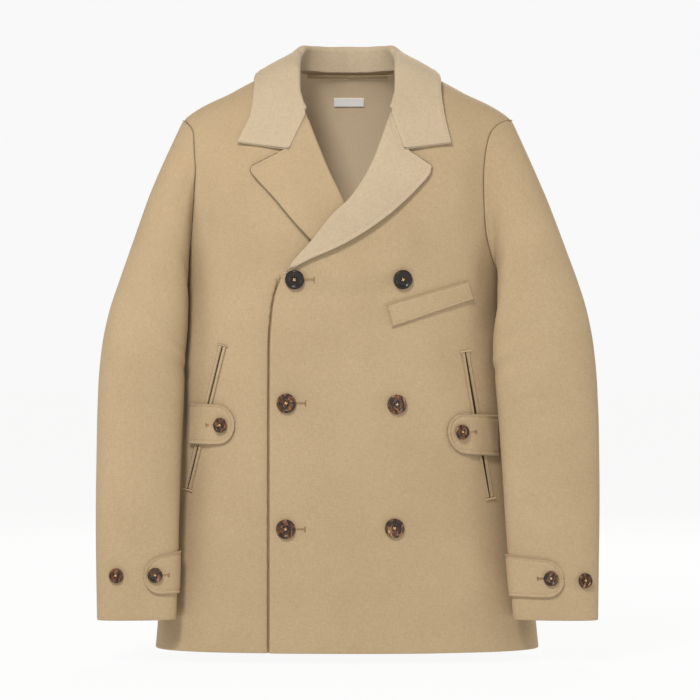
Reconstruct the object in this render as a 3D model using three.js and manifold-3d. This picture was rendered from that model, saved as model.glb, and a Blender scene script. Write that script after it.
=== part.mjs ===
// Double-breasted wool coat, worn shape held open and hollow, in millimetres.
// X runs across to the coat's own left, Z up, and the front faces -Y.
// Z = 0 is the level of the neck seam at the shoulders.
import * as THREE from 'three';
import { mergeVertices } from 'three/addons/utils/BufferGeometryUtils.js';
import Module from 'manifold-3d';

const wasm = await Module();
wasm.setup();

// Cloth and seam sizes
const CLOTH = 2.4;
const DOUBLE = 3.0;
const LINING = 1.0;
const SEAM = 0.3;
const ROLL_GAP = 1.6;
const LEAF_GAP = 1.1;
const ROLL_SHORT = 9.5;
const ROLL_FADE = { neck: 0.2, breast: 0.93 };

// Levels
const HEM_Z = -745;
const UNDERARM_Z = -270;

// How square the shoulder is, seen from the side
const YOKE_POWER = 3;

// Grid sizes
const LOW_ROWS = 11;
const YOKE_ROWS = 12;
const FRONT_COLUMNS = 15;
const BACK_COLUMNS = 18;
const SLEEVE_ROWS = 17;
const DENSE = 160;
const NORMAL_STEP = 0.45;
const TURN_STEP = 0.004;
const HALVINGS = 30;

// Body sections: half widths on the wearer's right and left, depths, squareness
const BODY = table(['z', 'right', 'left', 'front', 'back', 'square'], [
  [-745, 249, 248, 115, 108, 2.5],
  [-680, 243, 241, 114, 107, 2.5],
  [-600, 230, 224, 113, 105, 2.5],
  [-520, 219, 210, 113, 101, 2.5],
  [-450, 215, 204, 113, 97, 2.5],
  [-390, 213.5, 201, 114, 96, 2.5],
  [-330, 211.5, 199.5, 116, 100, 2.5],
  [-270, 210, 201, 118, 106, 2.5],
  [-210, 214, 210, 118, 108, 2.5],
  [-150, 218, 216, 117, 108, 2.5],
  [-60, 222, 222, 114, 104, 2.5],
  [40, 224, 224, 112, 100, 2.5],
]);

// Height of the shoulder line, and of its run under the collar, by distance from the centre
const SHOULDER = table(['x', 'z'], [
  [0, 28], [33, 21], [66, 7.5], [90, 1.5], [119, -9.5], [155, -28.5], [184, -42], [205, -55], [216, -65],
]);

// Armhole edges of the panels
const ARMHOLE_FRONT_RIGHT = table(['z', 'x'], [
  [-270, 210], [-262, 208.5], [-240, 204], [-200, 200], [-156, 197], [-128, 195.5],
  [-108, 197], [-83, 198.6], [-73.6, 201.5], [-67, 207], [-63, 213],
]);
const ARMHOLE_FRONT_LEFT = table(['z', 'x'], [
  [-270, 201], [-265, 198.5], [-245, 187.5], [-200, 177], [-143, 174.5], [-108, 177],
  [-96, 179.4], [-86, 182], [-79, 185], [-73, 190], [-67, 197], [-63, 213],
]);
const ARMHOLE_BACK_RIGHT = table(['z', 'x'], [
  [-270, 210], [-264, 208], [-240, 200], [-180, 194], [-110, 196], [-75, 203], [-63, 213],
]);
const ARMHOLE_BACK_LEFT = table(['z', 'x'], [
  [-270, 201], [-265, 199], [-240, 194], [-180, 192], [-110, 196], [-75, 203], [-63, 213],
]);

// Roll lines of the fronts, from the break point up to the neck point
const ROLL_LEFT = table(['z', 'x'], [
  [-270, -84.5], [-250, -69.4], [-222, -46.2], [-191, -22], [-165, 6.2],
  [-122, 30.5], [-57, 53.1], [-17, 61.5], [0, 64], [7.5, 66],
]);
const ROLL_RIGHT = table(['z', 'x'], [
  [-270, 66], [-236, 38], [-202, 13], [-172, -2.8],
  [-134, -22], [-98, -37], [-65.5, -48.7], [-30, -59], [0, -64], [7.5, -66],
]);

// Front edges below the break points
const EDGE_LEFT = table(['z', 'x'], [
  [-745, -98.8], [-474, -98.8], [-356, -98.2], [-314, -95.3], [-289, -91], [-270, -84.5],
]);
const EDGE_RIGHT = table(['z', 'x'], [
  [-745, 84], [-474, 84], [-356, 83], [-314, 79], [-289, 73], [-270, 66],
]);

// Lapels, from the break point to the gorge: roll line, a middle point, outer edge
const LAPEL_LEFT = table(['roll_x', 'roll_z', 'mid_x', 'mid_z', 'edge_x', 'edge_z'], [
  [-84, -264, -80, -261.5, -76, -259.5],
  [-67, -245, -58, -246, -49, -246.5],
  [-46.2, -222, -27, -226.5, -6, -227.5],
  [-22, -191, 6, -199, 33, -204],
  [6.2, -163, 40, -172, 70, -174.5],
  [30.5, -122, 68, -132, 105, -136],
  [53.1, -64.5, 70.5, -106, 107, -126.5],
]);
const LAPEL_RIGHT = table(['roll_x', 'roll_z', 'mid_x', 'mid_z', 'edge_x', 'edge_z'], [
  [58, -256, 53, -257, 48, -258],
  [38, -236, 24, -244, 10, -251],
  [13, -202, -8, -219, -30, -235],
  [-8, -162, -34, -186, -60, -207],
  [-22, -134, -58, -155, -92, -169],
  [-36, -100, -80, -122, -123, -133],
  [-50.8, -66.5, -72.8, -106, -121.4, -126.5],
]);

// Collar from the centre back to a front end. The seam and the edge are given by distance from
// the centre and place over the shoulder: 1 is the underarm level at the back, 0 the shoulder
// seam and -1 the underarm level in front.
const COLLAR_NAMES = [
  'seam_x', 'seam_s', 'fold_x', 'fold_s', 'fold_up', 'mid_x', 'mid_s', 'edge_x', 'edge_s',
];
const COLLAR_BACK_ROWS = [
  [0, 0.262, 0, 0.28, 31.3, 0, 0.33, 0, 0.43],
  [30, 0.222, 27, 0.242, 29.7, 32, 0.31, 44, 0.4],
  [52, 0.135, 47, 0.155, 26.2, 60, 0.24, 82, 0.33],
  [64, 0.045, 56, 0.05, 21.5, 80, 0.12, 104, 0.2],
  [67, 0, 59.5, 0, 13.5, 85, 0, 110.5, 0.03],
  [67.5, -0.12, 61.5, -0.13, 8, 89, -0.13, 116.5, -0.17],
  [67, -0.24, 61.5, -0.26, 3, 89, -0.28, 118.5, -0.31],
  [64, -0.36, 60, -0.38, 1, 87, -0.42, 122, -0.43],
];
const COLLAR_LEFT = table(COLLAR_NAMES, [
  ...COLLAR_BACK_ROWS,
  [58, -0.485, 53.1, -0.511, 0, 70.5, -0.638, 131.3, -0.57],
]);
const COLLAR_RIGHT = table(COLLAR_NAMES, [
  ...COLLAR_BACK_ROWS,
  [56, -0.495, 50.8, -0.52, 0, 72.8, -0.638, 139.8, -0.555],
]);
const NECK_CORNER = 66;
const BACK_MIDDLE = 0.36;
const NECKLINE = table(['x', 's'], [
  [0, 0.267], [30, 0.228], [50, 0.152], [60, 0.09], [66, 0],
]);

// Sleeve sections from the armhole to the cuff: outer and inner limits seen from the front,
// the middle's depth, half the depth, the forward lean of the inner side and the squareness
const SLEEVE_NAMES = ['outer_x', 'outer_z', 'inner_x', 'inner_z', 'mid_y', 'deep', 'lean', 'square'];
const SLEEVE_RIGHT = table(SLEEVE_NAMES, [
  [216.5, -66, 211, -271, -5, 54, 0, 2],
  [227, -90, 208, -284, -8, 58, 12, 2],
  [241.5, -124, 205.5, -300, -12, 60, 20, 2],
  [256, -160, 204, -318, -17, 61, 24, 2],
  [269, -197, 203.5, -337, -22, 61, 28, 2],
  [282, -234, 205, -357, -27, 61, 29, 2],
  [295, -272, 206, -378, -31, 60, 31, 2],
  [307, -311, 207, -400, -35, 59, 32, 2],
  [316, -358, 208.5, -424, -39, 57, 32, 2.05],
  [321, -410, 211, -452, -40, 54, 27, 2.1],
  [322.6, -465, 213, -490, -47, 50, 25, 2.15],
  [322.8, -525, 214.5, -537, -56, 44, 22, 2.2],
  [322.3, -585, 216, -590, -66, 38, 17, 2.3],
  [321, -645, 217, -647, -77, 31, 10, 2.4],
  [319.3, -704, 218.4, -703, -85, 25, 4, 2.5],
]);
const SLEEVE_LEFT = table(SLEEVE_NAMES, [
  [216.5, -66, 204.5, -271, -8, 56, 0, 2],
  [226.5, -90, 201, -284, -12, 60, 20, 2],
  [240.5, -124, 191, -300, -18, 62, 30, 2],
  [255.5, -160, 185, -318, -23, 63, 37, 2],
  [269.5, -197, 181, -337, -30, 63, 43, 2],
  [283, -234, 180, -357, -35, 62, 45, 2],
  [296.5, -272, 181, -378, -40, 61, 46, 2],
  [308, -311, 184, -400, -44, 59, 46, 2],
  [316.5, -358, 188, -424, -48, 57, 44, 2.05],
  [321.3, -410, 192, -452, -49, 54, 38, 2.1],
  [323, -465, 195.5, -490, -55, 50, 34, 2.15],
  [323.1, -525, 199.5, -537, -62, 44, 28, 2.2],
  [322.4, -585, 203.5, -590, -71, 37, 20, 2.3],
  [321, -645, 207.5, -647, -79, 30, 11, 2.4],
  [319.3, -704, 211.5, -703, -86, 25, 4, 2.5],
]);
const ARMHOLE_BLEND = 0.16;
const ARMHOLE_GAP = 0.45;
const ARMHOLE_LIP = 1.2;
const SLEEVE_EASE = 1.15;

// Buttons: places, sizes and the profile as shares of radius, thickness and rim
const FRONT_BUTTON = { radius: 12.4, thick: 4.2, rim: 1.1, hole: 1.25, spread: 2.7 };
const SMALL_BUTTON = { radius: 9.6, thick: 3.6, rim: 0.9, hole: 1.0, spread: 2.1 };
const BUTTON_SIDES = 13;
const BUTTON_LIFT = 0.8;
const BUTTON_PROFILE = [
  [0, 0, 0], [0.8, 0, 0], [1, 0.45, 0], [0.97, 0.82, 0],
  [0.86, 1, 0], [0.72, 1, 0.4], [0.6, 1, 1], [0, 1, 1],
];
const WAIST_BUTTON_LIFT = 1.9;
const FRONT_BUTTONS = [
  { name: 'button_front_top_right', x: -66.4, z: -271, lift: 1.6 },
  { name: 'button_front_top_left', x: 69.5, z: -270.6, lift: 1.8 },
  { name: 'button_front_middle_right', x: -77.3, z: -427.7, lift: 0.6 },
  { name: 'button_front_middle_left', x: 62.6, z: -429.1, lift: 0.6 },
  { name: 'button_front_low_right', x: -78, z: -587.2, lift: 0.6 },
  { name: 'button_front_low_left', x: 59.6, z: -585.9, lift: 0.6 },
];

// Slanted pockets: ends of the opening, width of a lip, slit between the lips
const POCKETS = [
  { side: 'right', top_x: 158.8, top_z: -355.4, low_x: 204, low_z: -538 },
  { side: 'left', top_x: 149.7, top_z: -363.3, low_x: 181.5, low_z: -549 },
];
const LIP_WIDTH = 4;
const LIP_THICK = 1.5;
const LIP_LIFT = 0.5;
const SLIT = 1.6;

// Waist straps: tip, height and slope of the run to the side seam
const WAIST_TABS = [
  { side: 'right', tip_x: 142.9, tip_z: -455.9, end_x: 200, end_z: -454.5, height: 53 },
  { side: 'left', tip_x: 126.8, tip_z: -464.5, end_x: 192, end_z: -470, height: 53 },
];
const TAB_ROUND = 26;
const TAB_POWER = 2.4;
const TAB_TIP = 0.06;
const TAB_EASE = 1.5;
const TAB_BUTTON = 16.5;
const OVER_LIP = { lift: 2.22, near: 10, far: 26 };

// Breast welt corners
const WELT = {
  inner_x: 48.5, inner_z: -302.3, outer_x: 152.1, outer_z: -271.5,
  drop_inner: 29, drop_outer: 24, shift: 7.5,
};

// Cuff straps: middle height, tip and button across, far end round the sleeve (half turns)
const CUFF_TABS = [
  { side: 'right', z: -646, tip_x: 257.9, button_x: 244.6, end: 1.06, height: 50 },
  { side: 'left', z: -650, tip_x: 273.5, button_x: 257.1, end: 1.06, height: 50 },
];
const CUFF_PLACE = 0.92;
const CUFF_TAB = { ease: 1.3, behind: 0.9, rise: 5.4, cut: 1.2, from: 0.1, to: 0.8 };
const SLEEVE_BUTTONS = [
  { name: 'button_cuff_outer_right', side: 'right', x: 292.8, z: -646.7 },
  { name: 'button_cuff_outer_left', side: 'left', x: 301.2, z: -653.1 },
];

// Label and neck strip inside the back
const LINING_INSET = CLOTH + SEAM + 0.1;
const UNDER_LINING = LINING_INSET + LINING + 2 * SEAM;
const LABEL = { x: 2, half: 20, z: -31.5, high: 11, thick: 0.6, inset: UNDER_LINING };
const NECK_TAPE = { x: 0, half: 54, z: 1.2, high: 4, thick: 0.8, inset: UNDER_LINING };

// Finishes
const WOOL = material('#c3ab87', 0.92, 0);
const LINING_CLOTH = material('#a5927a', 0.6, 0);
const HORN = material('#2c2019', 0.35, 0);
const LABEL_CLOTH = material('#cfc6b4', 0.8, 0);

// Tables with named columns
function table(names, rows) {
  return { names, rows };
}
function column(tab, name) {
  const index = tab.names.indexOf(name);
  return tab.rows.map((row) => row[index]);
}
// Smooth reading of one column against another that rises or falls steadily
function read(tab, name, by, at) {
  return smoothRead(column(tab, by), column(tab, name), at);
}
function smoothRead(keys, values, at) {
  const last = keys.length - 1;
  const rising = keys[last] > keys[0];
  const before = (a, b) => (rising ? a < b : a > b);
  if (!before(keys[0], at)) return values[0];
  if (!before(at, keys[last])) return values[last];
  let i = 0;
  while (before(keys[i + 1], at)) i += 1;
  const rate = (k) => (values[k + 1] - values[k]) / (keys[k + 1] - keys[k]);
  const slope = (k) => {
    if (k === 0) return rate(0);
    if (k === last) return rate(last - 1);
    const a = rate(k - 1);
    const b = rate(k);
    return a * b <= 0 ? 0 : (2 * a * b) / (a + b);
  };
  const step = keys[i + 1] - keys[i];
  return hermite((at - keys[i]) / step, values[i], values[i + 1], slope(i) * step, slope(i + 1) * step);
}
function hermite(u, a, b, slopeA, slopeB) {
  const u2 = u * u;
  const u3 = u2 * u;
  return a * (2 * u3 - 3 * u2 + 1) + slopeA * (u3 - 2 * u2 + u) + b * (3 * u2 - 2 * u3) + slopeB * (u3 - u2);
}
// All columns at a place along the rows, 0 the first row and 1 the last
function along(tab, place) {
  const keys = tab.rows.map((row, i) => i / (tab.rows.length - 1));
  const out = {};
  tab.names.forEach((name, i) => {
    out[name] = smoothRead(keys, tab.rows.map((row) => row[i]), place);
  });
  return out;
}
function lerp(a, b, u) {
  return a + (b - a) * u;
}
function smooth(low, high, at) {
  const u = Math.min(1, Math.max(0, (at - low) / (high - low)));
  return u * u * (3 - 2 * u);
}
function material(color, roughness, metalness) {
  return new THREE.MeshStandardMaterial({ color, roughness, metalness });
}
function vec(x, y, z) {
  return new THREE.Vector3(x, y, z);
}

// The body's surface
function sideSign(side) {
  return side === 'right' ? -1 : 1;
}
function halfWidth(x, z) {
  return read(BODY, x < 0 ? 'right' : 'left', 'z', z);
}
function shoulderZ(x) {
  return read(SHOULDER, 'z', 'x', Math.abs(x));
}
function yokeShare(x, z) {
  return (z - UNDERARM_Z) / (shoulderZ(x) - UNDERARM_Z);
}
function yokeZ(x, s) {
  return UNDERARM_Z + (1 - s * s) * (shoulderZ(x) - UNDERARM_Z);
}
function yokePlace(x, z) {
  return Math.sqrt(Math.max(0, 1 - yokeShare(x, z)));
}
function bodyDepth(x, z, face) {
  const depth = read(BODY, face, 'z', z);
  const square = read(BODY, 'square', 'z', z);
  const across = Math.min(1, Math.abs(x) / halfWidth(x, z));
  const share = Math.min(1, Math.max(0, yokeShare(x, z)));
  return depth * (1 - across ** square) ** (1 / square) * Math.sqrt(1 - share ** YOKE_POWER);
}
// The left front stands off where it laps over the right one and over its lapel
const LAP = { lift: CLOTH + 2 * SEAM, full_x: 96, end_x: 150, full_z: -175, end_z: -95 };
const HIDDEN_LAPEL = { x: 5, z: -216, wide: 66, high: 50, fade: 1.6, lift: 5.3 };
function lapLift(x, z) {
  const lap = 1 - smooth(LAP.full_x, LAP.end_x, x);
  const up = 1 - smooth(LAP.full_z, LAP.end_z, z);
  const across = (x - HIDDEN_LAPEL.x) / HIDDEN_LAPEL.wide;
  const away = Math.hypot(across, (z - HIDDEN_LAPEL.z) / HIDDEN_LAPEL.high);
  return LAP.lift * lap * up + HIDDEN_LAPEL.lift * (1 - smooth(1, HIDDEN_LAPEL.fade, away));
}
function frontPoint(x, z, lapped) {
  const lift = lapped ? lapLift(x, z) : 0;
  return vec(x, -bodyDepth(x, z, 'front') - lift, z);
}
function yokePoint(x, s, lapped) {
  const z = yokeZ(x, s);
  if (s > 0) return vec(x, bodyDepth(x, z, 'back'), z);
  return frontPoint(x, z, lapped);
}
// Ring of the body below the underarm, by angle: 0 the left side seam, half a turn the right one
function ringPoint(angle, z, face, lapped) {
  const square = read(BODY, 'square', 'z', z);
  const c = Math.cos(angle);
  const half = halfWidth(c, z);
  const x = half * Math.sign(c) * Math.abs(c) ** (2 / square);
  const depth = read(BODY, face, 'z', z) * Math.abs(Math.sin(angle)) ** (2 / square);
  if (face === 'back') return vec(x, depth, z);
  return vec(x, -depth - (lapped ? lapLift(x, z) : 0), z);
}
function ringAngle(x, z) {
  const square = read(BODY, 'square', 'z', z);
  const share = Math.min(1, Math.abs(x) / halfWidth(x, z));
  return Math.acos(Math.sign(x) * share ** (square / 2));
}
// Normal of a surface given by two numbers
function surfaceNormal(point, a, b, step, outward) {
  const da = point(a + step, b).sub(point(a - step, b));
  const db = point(a, b + step).sub(point(a, b - step));
  const n = da.cross(db).normalize();
  return n.dot(outward) < 0 ? n.negate() : n;
}
const FRONT = vec(0, -1, 0);
const FRONT_SPREAD = 400;
function frontward(x) {
  return vec(x / FRONT_SPREAD, -1, 0);
}
function frontOut(x, z, lapped, lift) {
  const place = (a, b) => frontPoint(a, b, lapped);
  const n = surfaceNormal(place, x, z, NORMAL_STEP, FRONT);
  return frontPoint(x, z, lapped).addScaledVector(n, lift);
}

// Where a row of the yoke meets an edge line
function edgeX(tab, s) {
  const zs = column(tab, 'z');
  const xs = column(tab, 'x');
  const shares = zs.map((z, i) => yokeShare(xs[i], z));
  shares[0] = 0;
  shares[shares.length - 1] = 1;
  return smoothRead(shares, xs, 1 - s * s);
}

// Points evenly spaced along a curve given by a share from 0 to 1
function spaced(curve, count) {
  const points = [];
  const lengths = [0];
  for (let i = 0; i <= DENSE; i += 1) {
    points.push(curve(Math.sin((i / DENSE) * Math.PI / 2)));
    if (i > 0) lengths.push(lengths[i - 1] + points[i].distanceTo(points[i - 1]));
  }
  const out = [];
  let k = 0;
  for (let i = 0; i <= count; i += 1) {
    const goal = (lengths[DENSE] * i) / count;
    while (k < DENSE - 1 && lengths[k + 1] < goal) k += 1;
    const span = Math.max(1e-9, lengths[k + 1] - lengths[k]);
    out.push(points[k].clone().lerp(points[k + 1], Math.min(1, (goal - lengths[k]) / span)));
  }
  return out;
}

// A cloth wall on a grid of outer points, as one closed solid
function wall(grid, thick, options) {
  const rows = grid.length;
  const cols = grid[0].length;
  const round = options.round === true;
  const at = (r, c) => {
    const row = grid[Math.min(rows - 1, Math.max(0, r))];
    return round ? row[(c + cols) % cols] : row[Math.min(cols - 1, Math.max(0, c))];
  };
  const normalAt = (r, c) => {
    const dr = at(r + 1, c).clone().sub(at(r - 1, c));
    const dc = at(r, c + 1).clone().sub(at(r, c - 1));
    return dr.cross(dc).normalize();
  };
  const mr = Math.floor(rows / 2);
  const mc = Math.floor(cols / 2);
  const sign = normalAt(mr, mc).dot(options.outward(at(mr, mc))) < 0 ? -1 : 1;
  const inner = grid.map((row, r) => row.map((p, c) => {
    const n = normalAt(r, c).multiplyScalar(sign);
    if (options.adjust) options.adjust(n, r, c);
    n.normalize();
    return p.clone().addScaledVector(n, -thick);
  }));
  if (options.innerFix) options.innerFix(inner);
  const points = [...grid.flat(), ...inner.flat()];
  const id = (layer, r, c) => layer * rows * cols + r * cols + (round ? c % cols : c);
  const faces = [];
  const quad = (a, b, c, d) => {
    const short = points[a].distanceTo(points[c]) <= points[b].distanceTo(points[d]);
    if (short) faces.push([a, b, c], [a, c, d]);
    else faces.push([a, b, d], [b, c, d]);
  };
  const span = round ? cols : cols - 1;
  for (let r = 0; r < rows - 1; r += 1) {
    for (let c = 0; c < span; c += 1) {
      quad(id(0, r, c), id(0, r + 1, c), id(0, r + 1, c + 1), id(0, r, c + 1));
      quad(id(1, r, c), id(1, r, c + 1), id(1, r + 1, c + 1), id(1, r + 1, c));
    }
  }
  for (let c = 0; c < span; c += 1) {
    quad(id(0, 0, c), id(0, 0, c + 1), id(1, 0, c + 1), id(1, 0, c));
    quad(id(0, rows - 1, c), id(1, rows - 1, c), id(1, rows - 1, c + 1), id(0, rows - 1, c + 1));
  }
  if (!round) {
    for (let r = 0; r < rows - 1; r += 1) {
      quad(id(0, r, 0), id(1, r, 0), id(1, r + 1, 0), id(0, r + 1, 0));
      quad(id(0, r, cols - 1), id(0, r + 1, cols - 1), id(1, r + 1, cols - 1), id(1, r, cols - 1));
    }
  }
  const order = sign > 0 ? (f) => f : (f) => [f[0], f[2], f[1]];
  const geometry = new THREE.BufferGeometry();
  const flat = points.flatMap((p) => [p.x, p.y, p.z]);
  geometry.setAttribute('position', new THREE.Float32BufferAttribute(flat, 3));
  geometry.setIndex(faces.flatMap(order));
  return geometry;
}

// Rows of a panel: heights up to the underarm, then places up to the shoulder seam
const LOW_LEVELS = Array.from({ length: LOW_ROWS }, (unused, i) => (
  lerp(HEM_Z, UNDERARM_Z, 1 - (1 - i / LOW_ROWS) ** 1.25)
));
const YOKE_PLACES = Array.from({ length: YOKE_ROWS + 1 }, (unused, j) => 1 - (j / YOKE_ROWS) ** 1.3);

// Outer points of a front, from its front edge out to the side seam and armhole
function frontGrid(side) {
  const sign = sideSign(side);
  const lapped = side === 'left';
  const edge = lapped ? EDGE_LEFT : EDGE_RIGHT;
  const roll = lapped ? ROLL_LEFT : ROLL_RIGHT;
  const arm = lapped ? ARMHOLE_FRONT_LEFT : ARMHOLE_FRONT_RIGHT;
  const low = LOW_LEVELS.map((z) => {
    const from = ringAngle(read(edge, 'x', 'z', z), z);
    const to = side === 'left' ? 0 : Math.PI;
    return spaced((u) => ringPoint(lerp(from, to, u), z, 'front', lapped), FRONT_COLUMNS);
  });
  const yoke = YOKE_PLACES.map((s) => {
    const fade = smooth(0, ROLL_FADE.neck, s) * smooth(1, ROLL_FADE.breast, s);
    const from = edgeX(roll, s) + sign * ROLL_SHORT * fade;
    const to = sign * edgeX(arm, s);
    return spaced((u) => yokePoint(lerp(from, to, u), -s, lapped), FRONT_COLUMNS);
  });
  const grid = [...low, ...yoke];
  grid.forEach((row) => row.forEach((p) => { p.y -= SEAM / 2; }));
  return grid;
}
// Outer points of the back, from the right side across to the left
function backGrid() {
  const low = LOW_LEVELS.map((z) => {
    const ring = (sign) => (u) => ringPoint(Math.PI / 2 * (1 - sign * u), z, 'back');
    const half = (sign) => spaced(ring(sign), BACK_COLUMNS / 2);
    return [...half(-1).reverse(), ...half(1).slice(1)];
  });
  const yoke = YOKE_PLACES.map((s) => {
    const share = 1 - s;
    const row = (sign) => {
      const arm = sign < 0 ? ARMHOLE_BACK_RIGHT : ARMHOLE_BACK_LEFT;
      const reach = edgeX(arm, s);
      const corner = lerp(reach * BACK_MIDDLE, NECK_CORNER, share);
      const place = (x) => {
        const top = x < NECK_CORNER ? read(NECKLINE, 's', 'x', x) : 0;
        return lerp(1, top, share);
      };
      const point = (x) => yokePoint(sign * x, Math.max(1e-6, place(x)));
      const near = spaced((u) => point(corner * u), BACK_COLUMNS / 6);
      const far = spaced((u) => point(lerp(corner, reach, u)), BACK_COLUMNS / 3);
      return [...near, ...far.slice(1)];
    };
    return [...row(-1).reverse(), ...row(1).slice(1)];
  });
  const grid = [...low, ...yoke];
  grid.forEach((row) => row.forEach((p) => { p.y += SEAM / 2; }));
  return grid;
}
const frontRight = frontGrid('right');
const frontLeft = frontGrid('left');
const back = backGrid();
// Walls meet squarely where two panels are sewn together
function squareSeams(lastColumns) {
  return (n, r, c) => {
    const side = lastColumns.includes(c) && r <= LOW_ROWS;
    if (side || r === LOW_ROWS + YOKE_ROWS) n.y = 0;
  };
}
function backSeams(n, r, c) {
  const side = (c === 0 || c === BACK_COLUMNS) && r <= LOW_ROWS;
  const shoulder = r === LOW_ROWS + YOKE_ROWS && Math.abs(back[r][c].x) > NECK_CORNER - 1;
  if (side || shoulder) n.y = 0;
}

// Sleeves
function sleeveRing(tab, sign, place, angle) {
  const s = along(tab, place);
  const c = Math.cos(angle);
  const f = Math.sin(angle);
  const wide = Math.sign(c) * Math.abs(c) ** (2 / s.square);
  const deep = Math.sign(f) * Math.abs(f) ** (2 / s.square);
  const halfX = (s.outer_x - s.inner_x) / 2;
  const halfZ = (s.outer_z - s.inner_z) / 2;
  const narrow = Math.sqrt(1 - Math.min(0.98, (s.lean / Math.max(1, halfX, s.lean + 1)) ** 2));
  const inward = (1 - wide) / 2;
  const x = (s.outer_x + s.inner_x) / 2 + halfX * (wide > 0 ? wide : narrow * wide) - s.lean * deep * inward;
  return vec(sign * x, s.mid_y - s.deep * deep, (s.outer_z + s.inner_z) / 2 + halfZ * wide);
}
function armholePoint(side, turn) {
  const front = side === 'right' ? frontRight : frontLeft;
  const backColumn = side === 'right' ? 0 : BACK_COLUMNS;
  const steps = turn * YOKE_ROWS;
  const inFront = steps <= YOKE_ROWS;
  const climb = inFront ? YOKE_ROWS - steps : steps - YOKE_ROWS;
  const low = Math.min(YOKE_ROWS - 1, Math.floor(climb));
  const at = (j) => (inFront ? front[LOW_ROWS + j][FRONT_COLUMNS] : back[LOW_ROWS + j][backColumn]);
  return at(low).clone().lerp(at(low + 1), climb - low);
}
// Outer point of a sleeve: place along it, turn round it (0 outer, 0.5 front, 1 inner, 1.5 back)
function sleevePoint(side, place, turn) {
  const sign = sideSign(side);
  const tab = side === 'right' ? SLEEVE_RIGHT : SLEEVE_LEFT;
  const ring = sleeveRing(tab, sign, place, turn * Math.PI);
  const start = armholePoint(side, ((turn % 2) + 2) % 2);
  start.x += sign * ARMHOLE_GAP;
  return start.lerp(ring, smooth(0, ARMHOLE_BLEND, place));
}
const SLEEVE_COLUMNS = 2 * YOKE_ROWS;
function sleeveGrid(side) {
  const grid = [];
  for (let r = 0; r <= SLEEVE_ROWS; r += 1) {
    const row = [];
    for (let c = 0; c < SLEEVE_COLUMNS; c += 1) {
      row.push(sleevePoint(side, (r / SLEEVE_ROWS) ** SLEEVE_EASE, c / YOKE_ROWS));
    }
    grid.push(row);
  }
  return grid;
}
function sleeveAxis(side, place) {
  const a = sleevePoint(side, place, 0);
  return a.lerp(sleevePoint(side, place, 1), 0.5);
}
function sleeveWall(side) {
  const sign = sideSign(side);
  const grid = sleeveGrid(side);
  const middle = sleeveAxis(side, 0.5);
  return wall(grid, CLOTH, {
    round: true,
    outward: (p) => p.clone().sub(middle),
    innerFix: (inner) => {
      inner[0].forEach((p, c) => {
        const limit = grid[0][c].x - sign * ARMHOLE_LIP;
        if (sign * (limit - p.x) > 0) p.x = limit;
        if (sign * (grid[0][c].x - p.x) > 0) p.x = grid[0][c].x;
      });
    },
  });
}

// Lapels: a rolled edge and a leaf lying on the front
const ROLL_STEPS = 4;
const LEAF_STEPS = 6;
const LAPEL_STATIONS = 12;
function lapelWall(tab, lapped) {
  const radius = (CLOTH + ROLL_GAP + DOUBLE) / 2;
  const start = radius + SEAM;
  const grid = [];
  for (let i = 0; i <= LAPEL_STATIONS; i += 1) {
    const s = along(tab, i / LAPEL_STATIONS);
    const roll = vec(s.roll_x, 0, s.roll_z);
    const mid = vec(s.mid_x, 0, s.mid_z);
    const edge = vec(s.edge_x, 0, s.edge_z);
    const out = edge.clone().sub(roll).normalize();
    const row = [];
    for (let k = 0; k < ROLL_STEPS; k += 1) {
      const angle = (k / ROLL_STEPS) * Math.PI;
      const rise = radius * (1 - Math.cos(angle)) - CLOTH;
      const p = roll.clone().addScaledVector(out, start - radius * Math.sin(angle));
      row.push(frontOut(p.x, p.z, lapped, rise));
    }
    const first = roll.clone().addScaledVector(out, start);
    for (let k = 0; k <= LEAF_STEPS; k += 1) {
      const u = k / LEAF_STEPS;
      const p = u < 0.5 ? first.clone().lerp(mid, u * 2) : mid.clone().lerp(edge, u * 2 - 1);
      row.push(frontOut(p.x, p.z, lapped, DOUBLE + lerp(ROLL_GAP, LEAF_GAP, u)));
    }
    grid.push(row);
  }
  return wall(grid, DOUBLE, { outward: () => FRONT });
}

// Collar: stand up from the neck seam, over the fold and down to the edge
const STAND_STEPS = 3;
const FOLD_STEPS = 3;
const FALL_STEPS = 5;
const COLLAR_STATIONS = 13;
const COLLAR_REST = 1.2;
const COLLAR_BOW = 7;
const COLLAR_SEAM_LIFT = { back: 1.5, front: 4, from: 0.4, to: 0.8 };
const COLLAR_FOLD_FROM = 0.5;
const COLLAR_BOW_FROM = 0.65;
const COLLAR_TIP = { from: 0.8, lift: 0.5 };
const FOLD_OVERRUN = 0.15;
function yokeOut(x, s, lift) {
  const step = 0.02;
  const da = yokePoint(x + 1, s).sub(yokePoint(x - 1, s));
  const db = yokePoint(x, s + step).sub(yokePoint(x, s - step));
  const n = da.cross(db).normalize();
  if (n.z < 0) n.negate();
  return yokePoint(x, s).addScaledVector(n, lift);
}
function collarSection(tab, sign, place) {
  const s = along(tab, place);
  const at = (x, t, lift) => yokeOut(sign * x, t, lift);
  const toFront = smooth(COLLAR_SEAM_LIFT.from, COLLAR_SEAM_LIFT.to, place);
  const seam = at(s.seam_x, s.seam_s, lerp(COLLAR_SEAM_LIFT.back, COLLAR_SEAM_LIFT.front, toFront));
  const fold = at(s.fold_x, s.fold_s, (DOUBLE + ROLL_GAP) * smooth(COLLAR_FOLD_FROM, 1, place));
  fold.z += s.fold_up;
  const mid = at(s.mid_x, s.mid_s, DOUBLE + COLLAR_REST);
  const rest = lerp(COLLAR_REST, COLLAR_TIP.lift, smooth(COLLAR_TIP.from, 1, place));
  const edge = at(s.edge_x, s.edge_s, DOUBLE + rest);
  mid.z += COLLAR_BOW * (1 - smooth(COLLAR_BOW_FROM, 1, place));
  return { seam, fold, mid, edge };
}
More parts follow.
